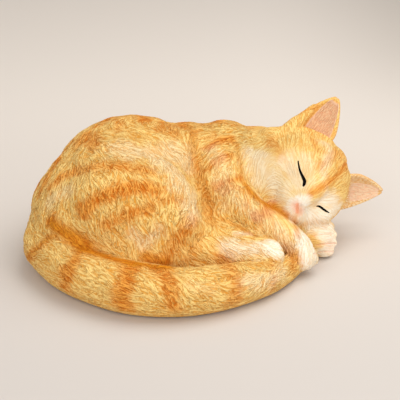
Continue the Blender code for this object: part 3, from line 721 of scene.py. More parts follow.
# What is painted or carved, by layer and view: half-width in millimetres, strength, corners of the line
marks = {
    ("stripe", "photo"): {
        # bands round the tail
        "tailBandRoot": (5.2, 0.58, (27, 259), (36, 248), (47, 240)),
        "tailBand1": (6.4, 0.82, (80, 252), (72, 263), (66, 275), (64, 288)),
        "tailBand2": (7.0, 0.88, (131, 264), (126, 278), (122, 292), (124, 308)),
        "tailBand3": (6.6, 0.74, (163, 268), (168, 280), (172, 293), (172, 307)),
        "tailBand4": (7.0, 0.6, (222, 257), (232, 269), (238, 285), (235, 301)),
        "tailBand5": (4.6, 0.52, (271, 265), (276, 278), (273, 290)),
        # arcs over the haunch and thigh
        "haunchUpper": (5.4, 0.66, (50, 186), (62, 176), (76, 170), (95, 166), (116, 165), (136, 167),
                        (150, 171)),
        "haunchMiddle": (5.8, 0.8, (80, 212), (91, 203), (105, 195), (122, 189), (142, 188), (158, 190)),
        "haunchLower": (5.6, 0.7, (104, 227), (118, 219), (132, 214), (149, 208)),
        "thighPatch": (5.0, 0.55, (152, 195), (166, 200), (181, 198)),
        "thighFront": (6.6, 0.62, (196, 222), (186, 231), (177, 243), (169, 256)),
        "hockPatch": (5.0, 0.45, (202, 233), (196, 245), (190, 257)),
        "rumpPatch": (7.0, 0.7, (77, 141), (85, 134), (93, 143)),
        "rumpEdge": (4.0, 0.8, (70, 142), (58, 157), (47, 174), (38, 192)),
        "rumpLow": (3.6, 0.5, (45, 222), (52, 216), (60, 226)),
        "backPatch1": (4.6, 0.55, (114, 117), (120, 120), (118, 128)),
        "backPatch2": (5.6, 0.6, (160, 117), (169, 124), (176, 133)),
        # shoulder, forearm and paw
        "shoulder1": (3.6, 0.85, (207, 147), (218, 140), (231, 137)),
        "shoulder2": (4.0, 0.72, (206, 169), (218, 160), (232, 153)),
        "shoulder3": (3.2, 0.75, (217, 187), (228, 181), (241, 178)),
        "shoulderTop": (3.0, 0.5, (200, 123), (215, 121), (240, 124)),
        "forearm1": (2.8, 0.6, (224, 192), (232, 186), (242, 190)),
        "forearm2": (2.8, 0.5, (248, 193), (246, 205)),
        "forearm3": (4.4, 0.95, (257, 216), (265, 213), (272, 205)),
        "wrist": (6.0, 0.58, (288, 250), (295, 257), (294, 268)),
        "farPawBack": (4.0, 0.3, (311, 230), (316, 242)),
        # face and crown
        "cheekPatch": (4.6, 0.5, (271, 142), (277, 148), (282, 157)),
        "crown1": (3.2, 0.6, (313, 140), (318, 149)),
        "crown2": (3.2, 0.6, (337, 151), (328, 160), (319, 168)),
        "crown3": (3.2, 0.75, (346, 165), (336, 176), (326, 184), (311, 193)),
        "crown4": (3.0, 0.45, (345, 150), (341, 161)),
        "crownEdge": (3.4, 0.4, (337, 135), (344, 148), (349, 165)),
    },
    ("stripe", "rear"): {
        # bands that run on over the back and the far side
        "backBand1": (6.0, 0.8, (-0.112, 0.085), (-0.118, 0.06), (-0.116, 0.03)),
        "backBand2": (6.0, 0.85, (-0.086, 0.108), (-0.088, 0.08), (-0.084, 0.052), (-0.086, 0.022)),
        "backBand3": (6.0, 0.85, (-0.054, 0.112), (-0.055, 0.085), (-0.05, 0.055), (-0.053, 0.024)),
        "backBand4": (6.0, 0.8, (-0.022, 0.106), (-0.021, 0.08), (-0.017, 0.052), (-0.02, 0.022)),
        "backBand5": (5.4, 0.8, (0.01, 0.104), (0.012, 0.078), (0.016, 0.05), (0.012, 0.024)),
        "backBand6": (5.0, 0.7, (0.038, 0.094), (0.042, 0.07), (0.044, 0.04)),
        "napeBand": (4.0, 0.6, (0.068, 0.092), (0.074, 0.068), (0.072, 0.04)),
    },
    ("stripe", "top"): {
        "spine": (4.4, 0.55, (-0.1, 0.04), (-0.07, 0.052), (-0.035, 0.06), (0.005, 0.062), (0.035, 0.06)),
    },
    ("stripe", "rumpEnd"): {
        "rumpSide": (5.0, 0.7, (0.062, 0.06), (0.04, 0.056), (0.02, 0.062)),
    },
    ("stripe", "headEnd"): {
        "crownRear1": (3.4, 0.6, (0.07, 0.07), (0.052, 0.074), (0.036, 0.07)),
        "crownRear2": (3.4, 0.6, (0.066, 0.046), (0.05, 0.05), (0.036, 0.05)),
    },
    ("washAndShade", "photo"): {
        # deep gold in the hollows: the figure's wash, and painted shade where creases and undersides fall
        # dark
        "wristDeep": (4.0, 0.2, (289, 250), (293, 258)),
        "tailHollow": (4.6, 0.95, (50, 223), (60, 231), (72, 239), (82, 247), (96, 252), (112, 257),
                       (130, 261), (150, 264), (168, 266)),
        "tailHollowDeep1": (5.6, 0.9, (64, 232), (75, 238), (87, 247)),
        "tailHollowDeep2": (5.0, 0.8, (146, 257), (156, 261), (166, 263)),
        "tailRootHollow": (3.0, 0.6, (27, 258), (42, 242), (57, 234)),
        "flankHollow": (4.6, 0.55, (190, 125), (194, 140), (195, 156), (199, 172), (206, 190), (209, 206),
                        (212, 222)),
        "armpit": (6.0, 0.2, (211, 188), (213, 205), (216, 219)),
        "armUnder": (2.6, 0.6, (224, 219), (236, 225), (256, 235)),
        "chinHollow": (3.2, 0.85, (246, 184), (252, 192), (262, 201), (275, 208), (286, 216)),
        "neckHollow": (3.0, 0.5, (236, 142), (240, 158), (242, 170), (246, 184)),
        "muzzleUnder": (3.0, 0.55, (293, 218), (297, 228), (298, 236)),
        "footUnder": (3.0, 0.35, (232, 262), (255, 264), (280, 262)),
        "farPawTop": (3.4, 0.3, (303, 226), (314, 222), (326, 224)),
    },
    ("cream", "photo"): {
        # painted highlights: the thigh's edge and the haunch's top and left side, where light falls
        "thighEdgeHighlight": (13.0, 0.42, (156, 156), (170, 166), (182, 180), (190, 194), (194, 206)),
        "haunchTopHighlight": (13.0, 0.4, (120, 148), (145, 152), (168, 152), (185, 158)),
        "haunchLeftHighlight": (8.0, 0.32, (48, 203), (56, 196), (68, 190)),
        "thighLow": (6.0, 0.4, (134, 232), (145, 242), (158, 232)),
        "footTop": (7.0, 0.6, (228, 247), (248, 249), (268, 247), (276, 249)),
        "footTip": (7.0, 1.0, (272, 244), (279, 249)),
        "pawCream": (8.0, 1.0, (304, 238), (312, 252), (314, 265)),
        "farPaw": (9.0, 1.0, (326, 230), (333, 240), (329, 252)),
        "cheek": (11.0, 0.42, (266, 170), (277, 182), (288, 194), (298, 205)),
        "eyeRight": (9.0, 0.5, (289, 160), (292, 168), (300, 182)),
        "browRight": (7.5, 0.42, (305, 158), (309, 168), (311, 180)),
        "muzzle": (9.5, 0.95, (300, 209), (308, 216), (318, 220), (328, 217)),
        "eyeLeft": (7.0, 0.8, (323, 199), (333, 204), (336, 210)),
        "crownPale": (5.0, 0.42, (322, 142), (330, 148), (322, 178)),
        "armLow": (7.0, 0.4, (276, 226), (283, 236), (288, 246)),
        "tailPale": (8.0, 0.4, (248, 282), (262, 284), (284, 274)),
        "tailPaleMiddle": (7.0, 0.25, (192, 285), (212, 290)),
        "throatPatch": (3.0, 0.5, (236, 233), (250, 233)),
        "shoulderPale": (9.0, 0.32, (212, 150), (222, 170), (226, 200)),
        "forearmPale": (9.0, 0.34, (236, 198), (252, 212), (268, 226)),
        "cheekPale": (12.0, 0.5, (256, 158), (268, 176), (284, 192)),
    },
    ("paintedShade", "photo"): {
        # painted shade: a thin cool tint multiplied in, which takes the head down a little
        "cheekShade": (15.0, 0.85, (258, 150), (270, 172), (290, 190)),
        "neckShade": (13.0, 0.5, (250, 136), (258, 160)),
        "browShade": (12.0, 0.45, (292, 140), (300, 165)),
        "crownShade": (12.0, 0.2, (322, 146), (330, 170)),
    },
    ("pink", "photo"): {
        "nose": (2.0, 0.95, (297, 205), (297.5, 212)),
        "noseTip": (5.0, 0.6, (296, 206), (300, 212)),
        "throatPink": (1.6, 0.3, (240, 233), (250, 233)),
        "toeFlush": (7.0, 0.36, (328, 236), (331, 248)),
    },
    ("groove", "photo"): {
        # carved lines
        "farToe1": (1.1, 0.8, (314, 236), (324, 234), (337, 233)),
        "farToe2": (1.1, 0.9, (314, 246), (326, 244), (339, 243)),
        "farToe3": (1.1, 0.8, (314, 254), (324, 252), (336, 252)),
        "nearToe1": (1.1, 0.6, (300, 256), (303, 264), (302, 271)),
        "nearToe2": (1.1, 0.5, (309, 258), (311, 264), (309, 270)),
        "footToe1": (1.0, 0.5, (272, 249), (278, 250), (283, 250)),
        "noseSlit": (0.8, 0.7, (297.5, 204), (297, 211)),
        "eyeFoldRight": (1.4, 0.45, (298, 161), (300, 171), (303, 178), (305, 183), (303, 187)),
        "eyeFoldLeft": (1.2, 0.4, (316, 206), (320, 206.5), (329, 212)),
    },
    ("smooth", "photo"): {
        # where the fur is only brushed on, not carved
        "faceSmooth": (18.0, 0.92, (268, 166), (288, 162), (300, 182), (298, 206)),
        "faceSmoothLeft": (14.0, 0.8, (306, 212), (324, 206), (336, 208)),
        "pawSmooth": (12.0, 0.85, (325, 236), (333, 246)),
        "hollowSmooth": (5.0, 0.3, (64, 234), (86, 248), (112, 257), (150, 262), (168, 265)),
        "footSmooth": (6.0, 0.7, (276, 247), (281, 250)),
        "nearPawSmooth": (7.0, 0.5, (310, 254), (310, 266)),
    },
}

# Which way the hair lies on each casting, by view: place, and direction from root to tip, both in pixels of
# the photograph or in metres of the side view
combs = {
    "body": {
        "photo": [(70, 137, -1, 1), (57, 160, -0.7, 1), (45, 185, -0.5, 1), (57, 200, -0.3, 1),
                  (33, 205, -0.3, 1), (30, 225, 0, 1), (45, 215, -0.1, 1), (96, 150, 1, 0.1),
                  (110, 135, 1, 0.1), (135, 137, 1, 0.4), (150, 150, 1, 0.6), (135, 163, 0.6, 1),
                  (110, 163, 1, 0.5), (80, 165, 0.3, 1), (148, 168, 0.2, 1), (165, 163, 0.3, 1),
                  (180, 150, 0.8, 0.6), (160, 190, 0.15, 1), (185, 190, 0.15, 1), (110, 195, -0.15, 1),
                  (84, 195, -0.25, 1), (70, 212, 0.2, 1), (95, 230, 0.4, 1), (120, 228, 0.1, 1),
                  (135, 240, 0.2, 1), (150, 228, 0, 1), (172, 216, -0.1, 1), (172, 240, -0.25, 1),
                  (190, 215, -0.05, 1), (200, 208, 0, 1), (186, 240, -0.2, 1), (200, 240, 0.05, 1),
                  (175, 257, -0.25, 1), (190, 257, 0.1, 1), (72, 230, 0.7, 0.8), (88, 244, 0.8, 0.7),
                  (112, 250, 0.8, 0.6), (145, 257, 0.8, 0.6), (210, 262, 0.7, 0.7), (200, 150, -0.6, 0.7),
                  (213, 137, -1, 0.3), (226, 137, -1, 0.1), (225, 160, -0.7, 0.7), (200, 172, -0.1, 1),
                  (213, 190, 0, 1), (228, 185, 0.1, 1), (213, 210, 0.1, 1), (235, 160, -0.3, 1),
                  (213, 227, 0.6, 0.8), (230, 228, 1, 0.3), (248, 231, 1, 0.3), (235, 205, 0.3, 1)],
        "rear": [(-0.11, 0.06, -0.9, -0.4), (-0.06, 0.09, -1, -0.2), (-0.06, 0.04, -1, -0.5),
                 (0.0, 0.085, -1, -0.3), (0.0, 0.04, -1, -0.5), (0.04, 0.06, -1, -0.3)],
        "top": [(-0.06, 0.06, -1, -0.1), (0.01, 0.055, -1, 0.1), (-0.11, 0.05, -0.9, -0.5)],
        "rumpEnd": [(0.05, 0.05, -0.7, -0.7), (0.02, 0.07, -0.5, -0.9)],
    },
    "tail": {
        "photo": [(35, 262, 0.8, 0.7), (45, 250, 0.9, 0.4), (50, 272, 0.8, 0.6), (70, 262, 0.8, 0.6),
                  (75, 285, 0.85, 0.6), (100, 268, 0.85, 0.6), (97, 282, 0.9, 0.5), (125, 270, 0.95, 0.4),
                  (125, 285, 0.9, 0.5), (150, 280, 0.85, 0.6), (150, 295, 0.9, 0.6), (175, 275, 0.8, 0.6),
                  (180, 290, 0.6, 0.8), (200, 280, 0.6, 0.8), (205, 295, 0.7, 0.5), (100, 304, 1, 0.25),
                  (150, 312, 1, 0.05), (200, 308, 1, -0.1), (225, 280, 0.9, 0.2), (230, 295, 0.9, -0.4),
                  (250, 280, 0.8, -0.3), (265, 290, 0.8, -0.6), (280, 275, 0.7, -0.6), (240, 265, 0.8, 0.5),
                  (262, 266, 0.9, 0.2)],
        "rumpEnd": [(0.01, 0.025, -1, -0.1), (-0.015, 0.025, -1, -0.1)],
    },
    "right_foreleg": {
        "photo": [(232, 195, 0.2, 1), (245, 205, 0.4, 1), (255, 205, 0.4, 1), (265, 218, 0.3, 1),
                  (278, 215, 0.7, 0.7), (272, 230, 0.3, 1), (288, 228, 0.2, 1), (285, 243, 0.3, 1),
                  (300, 243, 0, 1), (310, 255, 0, 1), (298, 262, 0.1, 1)],
    },
    "right_hind_foot": {
        "photo": [(222, 243, 0.8, 0.6), (227, 252, 0.7, 0.8), (240, 241, 1, 0.15), (240, 254, 0.7, 0.7),
                  (255, 250, 0.8, 0.6), (265, 241, 1, 0.2), (267, 256, 0.8, 0.7), (280, 250, 0.8, 0.4)],
    },
    "left_foreleg": {
        "photo": [(310, 235, 1, 0.05), (325, 245, 1, 0)],
        "headEnd": [(0.012, 0.025, 0.1, -1)],
    },
    "head": {
        "rear": [(0.06, 0.08, -1, -0.2), (0.05, 0.04, -1, -0.3)],
        "photo": [(245, 135, -1, 0.1), (242, 155, -0.4, 0.7), (246, 175, -0.5, 0.8)],
    },
}

# How each casting is combed: length, width and depth of its strands in millimetres, the same of its locks,
# depth of its lumps, degrees that its hair swings and its locks turn, and how calm all of its fur is at least
coats = {
    "body": ((8.5, 2.2, 0.95), (15.0, 6.5, 0.75), 1.2, (42.0, 17.0), 0.0),
    "tail": ((8.0, 2.1, 0.90), (14.0, 6.0, 0.55), 0.9, (36.0, 15.0), 0.0),
    "head": ((6.5, 1.7, 0.45), (13.0, 5.0, 0.18), 0.3, (15.0, 6.0), 0.3),
    "right_foreleg": ((7.5, 1.9, 0.60), (13.0, 5.0, 0.30), 0.5, (24.0, 11.0), 0.0),
    "right_hind_foot": ((8.0, 2.0, 0.62), (13.0, 5.0, 0.30), 0.4, (24.0, 10.0), 0.0),
    "left_foreleg": ((6.0, 1.6, 0.28), (12.0, 4.5, 0.15), 0.2, (12.0, 5.0), 0.0),
}
combing = {
    "waves": ((0.024, 7.3, 0.9), (0.009, 7.3, 0.8)),     # length, seed and share: the hair's swing to and fro
    "ragged": ((0.011, 3.1, 0.55), (0.004, 5.7, 0.35)),  # the marks' ragged edges
    "lumps": (0.013, 9.1, 0.9, 0.5),                     # the lumps, and the level above which there are none
    "guideReach": 0.006,                         # how far a guide rules alone
    "guideStep": {"photo": 5.0, "side": 0.004},  # about how long a guide is, in pixels or metres
    "guideSpan": 0.02,                           # a longer step has left the form
    "faceFrom": (0.044, 0.066),                  # along X, where the hair starts to run away from the nose
    "overlap": 2.9,                              # how many strands lie over each place
    "stray": 5.0,                                # degrees by which one strand differs from the next
    "longSpread": (0.7, 1.2),
    "wideSpread": (0.75, 1.25),
    "bend": (0.12, 0.3),                         # how much strands bend, and where the bend is nought
    "taper": (0.6, 0.35, 0.05),                  # powers towards the tip and the root, and the least width
    "tipRise": 0.2,
    "smoothing": 0.85,                           # how much of the carving a fully smooth place loses
    "grooveDepth": 0.0009,
    "strandShare": 0.75,                         # of the strands in the fur's height, the rest is locks
    "floorFade": (0.0005, 0.006),                # above the floor, where the carving fades in
    "calmFur": 0.25,                             # how much of the strands' light is left without carving
}
millimetre = 0.001

painted = []
for (layer, view), lines in marks.items():
    for halfWidth, strength, *corners in lines.values():
        painted.append((layer, halfWidth * millimetre, strength, markLine(view, corners)))
report("%d marks placed" % len(painted))


def combGuides(name):  # places and directions on one casting
    places, ways = [], []
    for view, strokes in combs[name].items():
        step = combing["guideStep"]["photo" if view == "photo" else "side"]
        for a, b, alongA, alongB in strokes:
            start, end = pointAt(view, a, b), pointAt(view, a + alongA * step, b + alongB * step)
            way = end - start
            if way.length > combing["guideSpan"]:  # so it is taken upright, along X and Z
                way = Vector((alongA, 0.0, -alongB if view == "photo" else alongB))
            places.append(start)
            ways.append(way.normalized())
    return np.array(places), np.array(ways)


guides = {name: combGuides(name) for name in combs}
noseTip = np.array(figureShift @ (headPlace() @ Vector(headForm["noseTip"])))


def hairFlow(name, points, out):
    flow = np.zeros_like(points)
    total = np.zeros(len(points))
    for place, way in zip(*guides[name]):
        weight = 1.0 / (((points - place) ** 2).sum(1) + combing["guideReach"] ** 2) ** 1.5
        flow += way * weight[:, None]
        total += weight
    flow /= total[:, None]
    if name == "head":  # away from the nose, and over the neck as it is combed
        keep = easeIn(points[:, 0], *combing["faceFrom"])[:, None]
        flow = unit(points - noseTip) * keep + flow * (1 - keep)
    return alongSurface(flow, out)


def alongSurface(ways, out):
    return unit(ways - out * np.einsum("ij,ij->i", ways, out)[:, None])


def slowNoise(points, scale, seed):
    return np.array([softNoise((x / scale + seed, y / scale, z / scale)) for x, y, z in points.tolist()])


cellSpan = 512     # more boxes of space than lie along any axis of a casting
heightSteps = 1e6  # a strand's height is compared in these steps, with its own number in the bits below
strandBits = 20


def cellsOf(points, low, size):  # one number for the box of space that each point is in
    box = np.floor((points - low) / size).astype(np.int64) + 1
    return (box[:, 0] * cellSpan + box[:, 1]) * cellSpan + box[:, 2]


# Overlapping tapered strands: height from 0 in the gaps to 1 on a strand's back, and each point's strand
def combed(points, out, flow, size, seed, area):
    length, width = size[0] * millimetre, size[1] * millimetre
    bendSpread, straight = combing["bend"]
    tipPower, rootPower, leastWidth = combing["taper"]
    steps = [(x * cellSpan + y) * cellSpan + z for x in (-1, 0, 1) for y in (-1, 0, 1) for z in (-1, 0, 1)]
    dice = np.random.default_rng(seed)
    count = int(area * combing["overlap"] / (length * width))
    roots = dice.choice(len(points), min(count, len(points)), replace=False)
    centre, up = points[roots], out[roots]
    ways = turned(flow[roots], up, dice.normal(0.0, math.radians(combing["stray"]), len(roots)))
    sides = np.cross(up, ways)
    long = length * dice.uniform(*combing["longSpread"], len(roots)) * 0.5
    wide = width * dice.uniform(*combing["wideSpread"], len(roots)) * 0.5
    bend = dice.normal(0.0, bendSpread, len(roots))
    low, cell = points.min(0) - millimetre, long.max()
    strandCells, pointCells = cellsOf(centre, low, cell), cellsOf(points, low, cell)
    order = np.argsort(strandCells)
    strandCells = strandCells[order]
    cells, cellOf = np.unique(pointCells, return_inverse=True)
    best = np.zeros(len(points), dtype=np.int64)
    for shift in steps:
        first = np.searchsorted(strandCells, cells + shift, "left")[cellOf]
        many = np.searchsorted(strandCells, cells + shift, "right")[cellOf] - first
        held = np.nonzero(many)[0]
        if len(held) == 0:
            continue
        first, many = first[held], many[held]
        starts = np.cumsum(many) - many
        owner = np.repeat(held, many)
        strand = order[np.arange(many.sum()) - np.repeat(starts - first, many)]
        gap = points[owner] - centre[strand]
        along = np.einsum("ij,ij->i", gap, ways[strand]) / long[strand]
        bow = bend[strand] * long[strand] * (along ** 2 - straight)
        across = np.einsum("ij,ij->i", gap, sides[strand]) - bow
        taper = np.clip(1.0 - along, 0.0, 2.0) ** tipPower * np.clip(1.0 + along, 0.0, 2.0) ** rootPower
        cover = np.clip(1.0 - (across / (wide[strand] * np.maximum(taper, leastWidth))) ** 2, 0.0, 1.0)
        cover[np.abs(along) >= 1.0] = 0.0
        height = np.sqrt(cover) * (1.0 - combing["tipRise"] + combing["tipRise"] * along)
        rank = ((height * heightSteps).astype(np.int64) << strandBits) + strand  # the highest strand wins
        best[held] = np.maximum(best[held], np.maximum.reduceat(rank, starts))
    return (best >> strandBits) / heightSteps, best & ((1 << strandBits) - 1)


brush = {
    "reach": {  # how far each layer reaches, in its half-widths
        "stripe": 2.3, "washAndShade": 2.3, "cream": 2.3, "paintedShade": 2.3, "pink": 2.0, "groove": 2.0, "smooth": 2.3,
    },
    "full": 0.1,         # half-widths within which it has its full strength
    "grooveFall": 1.6,   # how steep a groove's sides are
    "margin": 1.5,       # room for ragged edges when the points near a line are looked for
}


def layersOn(points, ragged):  # how strongly each layer of paint and carving lies on each point
    found = {layer: np.zeros(len(points)) for layer in brush["reach"]}
    for layer, wide, strength, line in painted:
        reach = wide * brush["reach"][layer]
        room = reach * brush["margin"]
        near = (points > line.min(0) - room) & (points < line.max(0) + room)
        close = np.nonzero(near.all(1))[0]
        if len(close) == 0:
            continue
        spots = points[close]
        far = np.full(len(close), 1e9)
        for start, end in zip(line[:-1], line[1:]):
            run = end - start
            share = np.clip(((spots - start) @ run) / max(run @ run, 1e-12), 0.0, 1.0)
            far = np.minimum(far, ((spots - start - share[:, None] * run) ** 2).sum(1))
        far = np.sqrt(far)
        if layer in ("stripe", "cream"):
            far = far + wide * ragged[close]
        if layer == "groove":
            amount = strength * np.exp(-(far / wide) ** 2 * brush["grooveFall"])
        else:
            amount = strength * (1 - easeIn(far, wide * brush["full"], reach))
        found[layer][close] = np.maximum(found[layer][close], amount)
    return found


def dress(name, seed):  # comb, carve and colour one casting
    skin = skins[name]
    strandSize, lockSize, lumpDepth, turns, calm = coats[name]
    swing, tuft = (math.radians(angle) for angle in turns)
    points, out = pointsOf(skin), normalsOf(skin)
    swings = sum(slowNoise(points, scale, seed * shift) * share for scale, shift, share in combing["waves"])
    store(skin, "way", turned(hairFlow(name, points, out), out, swings * swing))
    ragged = sum(slowNoise(points, scale, seed * shift) * share for scale, shift, share in combing["ragged"])
    store(skin, "ragged", ragged)
    lumpLength, lumpSeed, lumpShare, lumpLevel = combing["lumps"]
    store(skin, "lump", slowNoise(points, lumpLength, seed * lumpSeed) * lumpShare)
    finer = skin.modifiers.new("finer", "SUBSURF")
    finer.levels = 1
    finer.render_levels = 1
    settle(skin)
    points, out = pointsOf(skin), normalsOf(skin)
    way = alongSurface(numbersOf(skin.data.attributes["way"].data, "vector", 3), out)
    area = sum(face.area for face in skin.data.polygons)
    lockHeight, lock = combed(points, out, way, lockSize, seed * 100 + 1, area)
    dice = np.random.default_rng(seed * 100 + 3)
    way = turned(way, out, dice.normal(0.0, tuft, lock.max() + 1)[lock])
    strandHeight = combed(points, out, way, strandSize, seed * 100 + 2, area)[0]
    layers = layersOn(points, take(skin, "ragged"))
    layers["smooth"] = np.maximum(layers["smooth"], calm)
    fadeFrom, fadeTo = combing["floorFade"]
    carve = easeIn(points[:, 2], restHeight + fadeFrom, restHeight + fadeTo)
    carve = carve * (1 - layers["smooth"] * combing["smoothing"])
    sink = strandSize[2] * millimetre * (1 - strandHeight) + lockSize[2] * millimetre * (1 - lockHeight)
    sink = sink + lumpDepth * millimetre * np.clip(lumpLevel - take(skin, "lump"), 0.0, 1.0)
    points = points - out * (sink * carve + combing["grooveDepth"] * layers["groove"])[:, None]
    moveTo(skin, sinkRebate(points) if name == "body" else points)
    fur = strandHeight * combing["strandShare"] + lockHeight * (1 - combing["strandShare"])
    store(skin, "fur", 0.5 + (fur - 0.5) * (combing["calmFur"] + (1 - combing["calmFur"]) * carve))
    store(skin, "way", way)
    for layer, amount in layers.items():
        store(skin, layer, amount)
    report("%s dressed, %d points" % (name, len(points)))


for seed, name in enumerate(coats, 1):
    dress(name, seed)


# Paint: cream-yellow resin with airbrushed bands, a brown-gold wash in the hollows that also paints their
# shade, and dry-brushed hair, which also paints highlights on the carved strands and shade between them
coatPaint = {
    "base": (colour(228, 158, 62), colour(252, 213, 132)),  # painted shade between the strands and painted highlight on them
    "stripe": (colour(200, 100, 0), colour(242, 164, 66)),
    # the hollows' gold: the figure's wash, and painted shade in the creases
    "washAndShade": (colour(194, 100, 0), colour(228, 144, 18)),
    "cream": (colour(242, 204, 144), colour(254, 243, 223)),
    "pink": colour(236, 150, 108),
    "toeLine": colour(244, 176, 142),
    # painted shade: the cool tint that takes the head down where the shade layer lies
    "shadeTint": (0.72, 0.77, 0.86),
    "roughness": 0.55,
    "gloss": 0.14,
    "strand": ((980.0, 0.0070, 9), (0.43, 0.57), 0.74),  # noise scale, length and samples; range; share
    "hair": ((1500.0, 0.0045, 6), (0.40, 0.60), 0.26),
    "hairRelief": 0.0010,
    "light": (0.38, 0.88, 0.22, 1.02),   # shares of carving and painted hair, and the range that they span
    "calmLight": (0.85, 0.6),            # where the fur is smooth
    "paleLight": (0.8, 0.2),             # the cream's share of the light, and its least
    "mottle": (60.0, 3.0, 0.5),          # noise scale, detail and strength
    "mottledRoughness": 0.25,
    "smoothHair": 0.75,                  # how much of its relief the hair loses where the fur is smooth
    "layers": {  # from the lowest up: how the mottle frays each, between which amounts it fades in, its share
        "stripe": (0.3, (0.08, 0.95), 1.0),
        "cream": (0.2, (0.08, 0.95), 1.0),
        "washAndShade": (0.0, (0.03, 1.0), 0.96),
        "pink": (0.0, (0.1, 1.0), 0.85),
        "groove": (0.0, (0.2, 1.0), 0.55),
    },
}
earPaint = {
    "right_ear": {"inner": (colour(216, 154, 116), colour(234, 194, 152)), "band": 0.5, "pale": 0.0},
    "left_ear": {"inner": (colour(248, 192, 152), colour(255, 230, 196)), "band": 0.1, "pale": 0.5},
    "fold": colour(250, 214, 190),
    "edge": colour(238, 182, 118),
    "hairRelief": 0.0006,
    "mottle": (150.0, 3.0, 0.4),
    "light": (0.8, 0.15, 0.5),           # the hair's share, the least and the mottle's share
    "fray": 0.4,                         # how the mottle frays stripe and hollow
    "bandRange": (0.1, 1.0),
    "hollowRange": (0.2, 0.8),
    "rimRange": (0.2, 1.0),
    "rimShare": 0.7,
    "foldShare": 2.4,
}


def mottled(paint, look):
    scale, detail, strength = look["mottle"]
    return (paint.cloud(scale, detail) - 0.5) * strength


def hairOn(paint):  # painted hair: 0 between the strands, 1 on them
    parts = []
    for streak, span, share in (coatPaint["strand"], coatPaint["hair"]):
        parts.append(paint.between(paint.streaks(*streak), *span) * share)
    return parts[0] + parts[1]


def coated(paint, base, cloudy, bump):  # what all the painted resin has in common
    roughness = cloudy * coatPaint["mottledRoughness"] + coatPaint["roughness"]
    return paint.set(Base_Color=base, Roughness=roughness, Specular_IOR_Level=coatPaint["gloss"], Normal=bump)


def coatMaterial():
    look = coatPaint
    paint = Paint("painted_coat")
    smooth, cloudy, hair = paint.stored("smooth"), mottled(paint, look), hairOn(paint)
    carvedShare, hairShare, dark, bright = look["light"]
    calm, calmShare = look["calmLight"]
    paleShare, paleLeast = look["paleLight"]
    # painted light: every colour below is mixed lighter on the carved strands and painted hair, darker
    # between them
    lit = paint.between(paint.stored("fur") * carvedShare + hair * hairShare, dark, bright)
    lit = lit + (calm - lit) * smooth * calmShare
    base = paint.tone(*look["base"], lit)
    tones = {
        "stripe": paint.tone(*look["stripe"], lit),
        "cream": paint.tone(*look["cream"], lit * paleShare + paleLeast),
        "washAndShade": paint.tone(*look["washAndShade"], lit),
        "pink": look["pink"],
        "groove": look["toeLine"],
    }
    for layer, (fray, span, share) in look["layers"].items():
        if layer == "pink":  # the painted shade lies under it
            base = paint.tone(base, look["shadeTint"], paint.stored("paintedShade"), "MULTIPLY")
        amount = paint.stored(layer) + cloudy * fray if fray else paint.stored(layer)
        base = paint.tone(base, tones[layer], paint.between(amount, *span) * share)
    bump = paint.relief(hair * (1 - smooth * look["smoothHair"]), look["hairRelief"])
    return coated(paint, base, cloudy, bump)


def earMaterial(name):
    look, own = earPaint, earPaint[name]
    paint = Paint("painted_" + name)
    hair, cloudy, pink = hairOn(paint), mottled(paint, look), paint.stored("pink")
    hairShare, least, cloudShare = look["light"]
    lit = hair * hairShare + least + cloudy * cloudShare
    frayed = cloudy * look["fray"]
    striped = paint.between(paint.stored("band") + frayed, *look["bandRange"]) * own["band"]
    base = paint.tone(paint.tone(*coatPaint["base"], lit), paint.tone(*coatPaint["stripe"], lit), striped)
    base = paint.tone(base, coatPaint["cream"][1], lit * own["pale"])
    inner = paint.tone(paint.tone(*own["inner"], lit), look["fold"], pink * (1 - pink) * look["foldShare"])
    base = paint.tone(base, inner, paint.between(pink + frayed, *look["hollowRange"]))
    rim = paint.between(paint.stored("rim"), *look["rimRange"]) * look["rimShare"]
    return coated(paint, paint.tone(base, look["edge"], rim), cloudy, paint.relief(hair, look["hairRelief"]))


coatFinish = coatMaterial()
for name, skin in skins.items():
    skin.name = skin.data.name = name + "_casting"
    skin.data.materials.clear()
    skin.data.materials.append(earMaterial(name) if name.endswith("ear") else coatFinish)
    skin.data.shade_smooth()
report("coat paint")


# The closed eyes, each a thin line of black paint laid in its fold
eyeLines = {  # corners and widths in pixels
    "right_eye_line": {
        "corners": [(298.1, 160.8), (298.7, 165.5), (299.9, 170.5), (301.6, 174.6), (303.4, 178.4),
                    (304.7, 181.8), (304.3, 184.4), (302.8, 186.6)],
        "widths": [1.0, 2.0, 2.5, 2.9, 3.6, 4.4, 4.2, 2.0],
    },
    "left_eye_line": {
        "corners": [(316.2, 206.2), (318.2, 206.1), (320.4, 207.0), (322.9, 208.8), (326.0, 211.0),
                    (329.1, 212.6)],
        "widths": [0.7, 1.8, 2.4, 2.7, 2.2, 0.7],
    },
}
eyeProfile = (  # share of the half-width, height over the skin
    (-1.0, -0.0002), (-0.9, 0.00025), (-0.4, 0.00042), (0.0, 0.00048), (0.4, 0.00042), (0.9, 0.00025),
    (1.0, -0.0002), (0.0, -0.0012),
)
eyeSmoothing = 4  # how many steps on each side the skin is averaged over


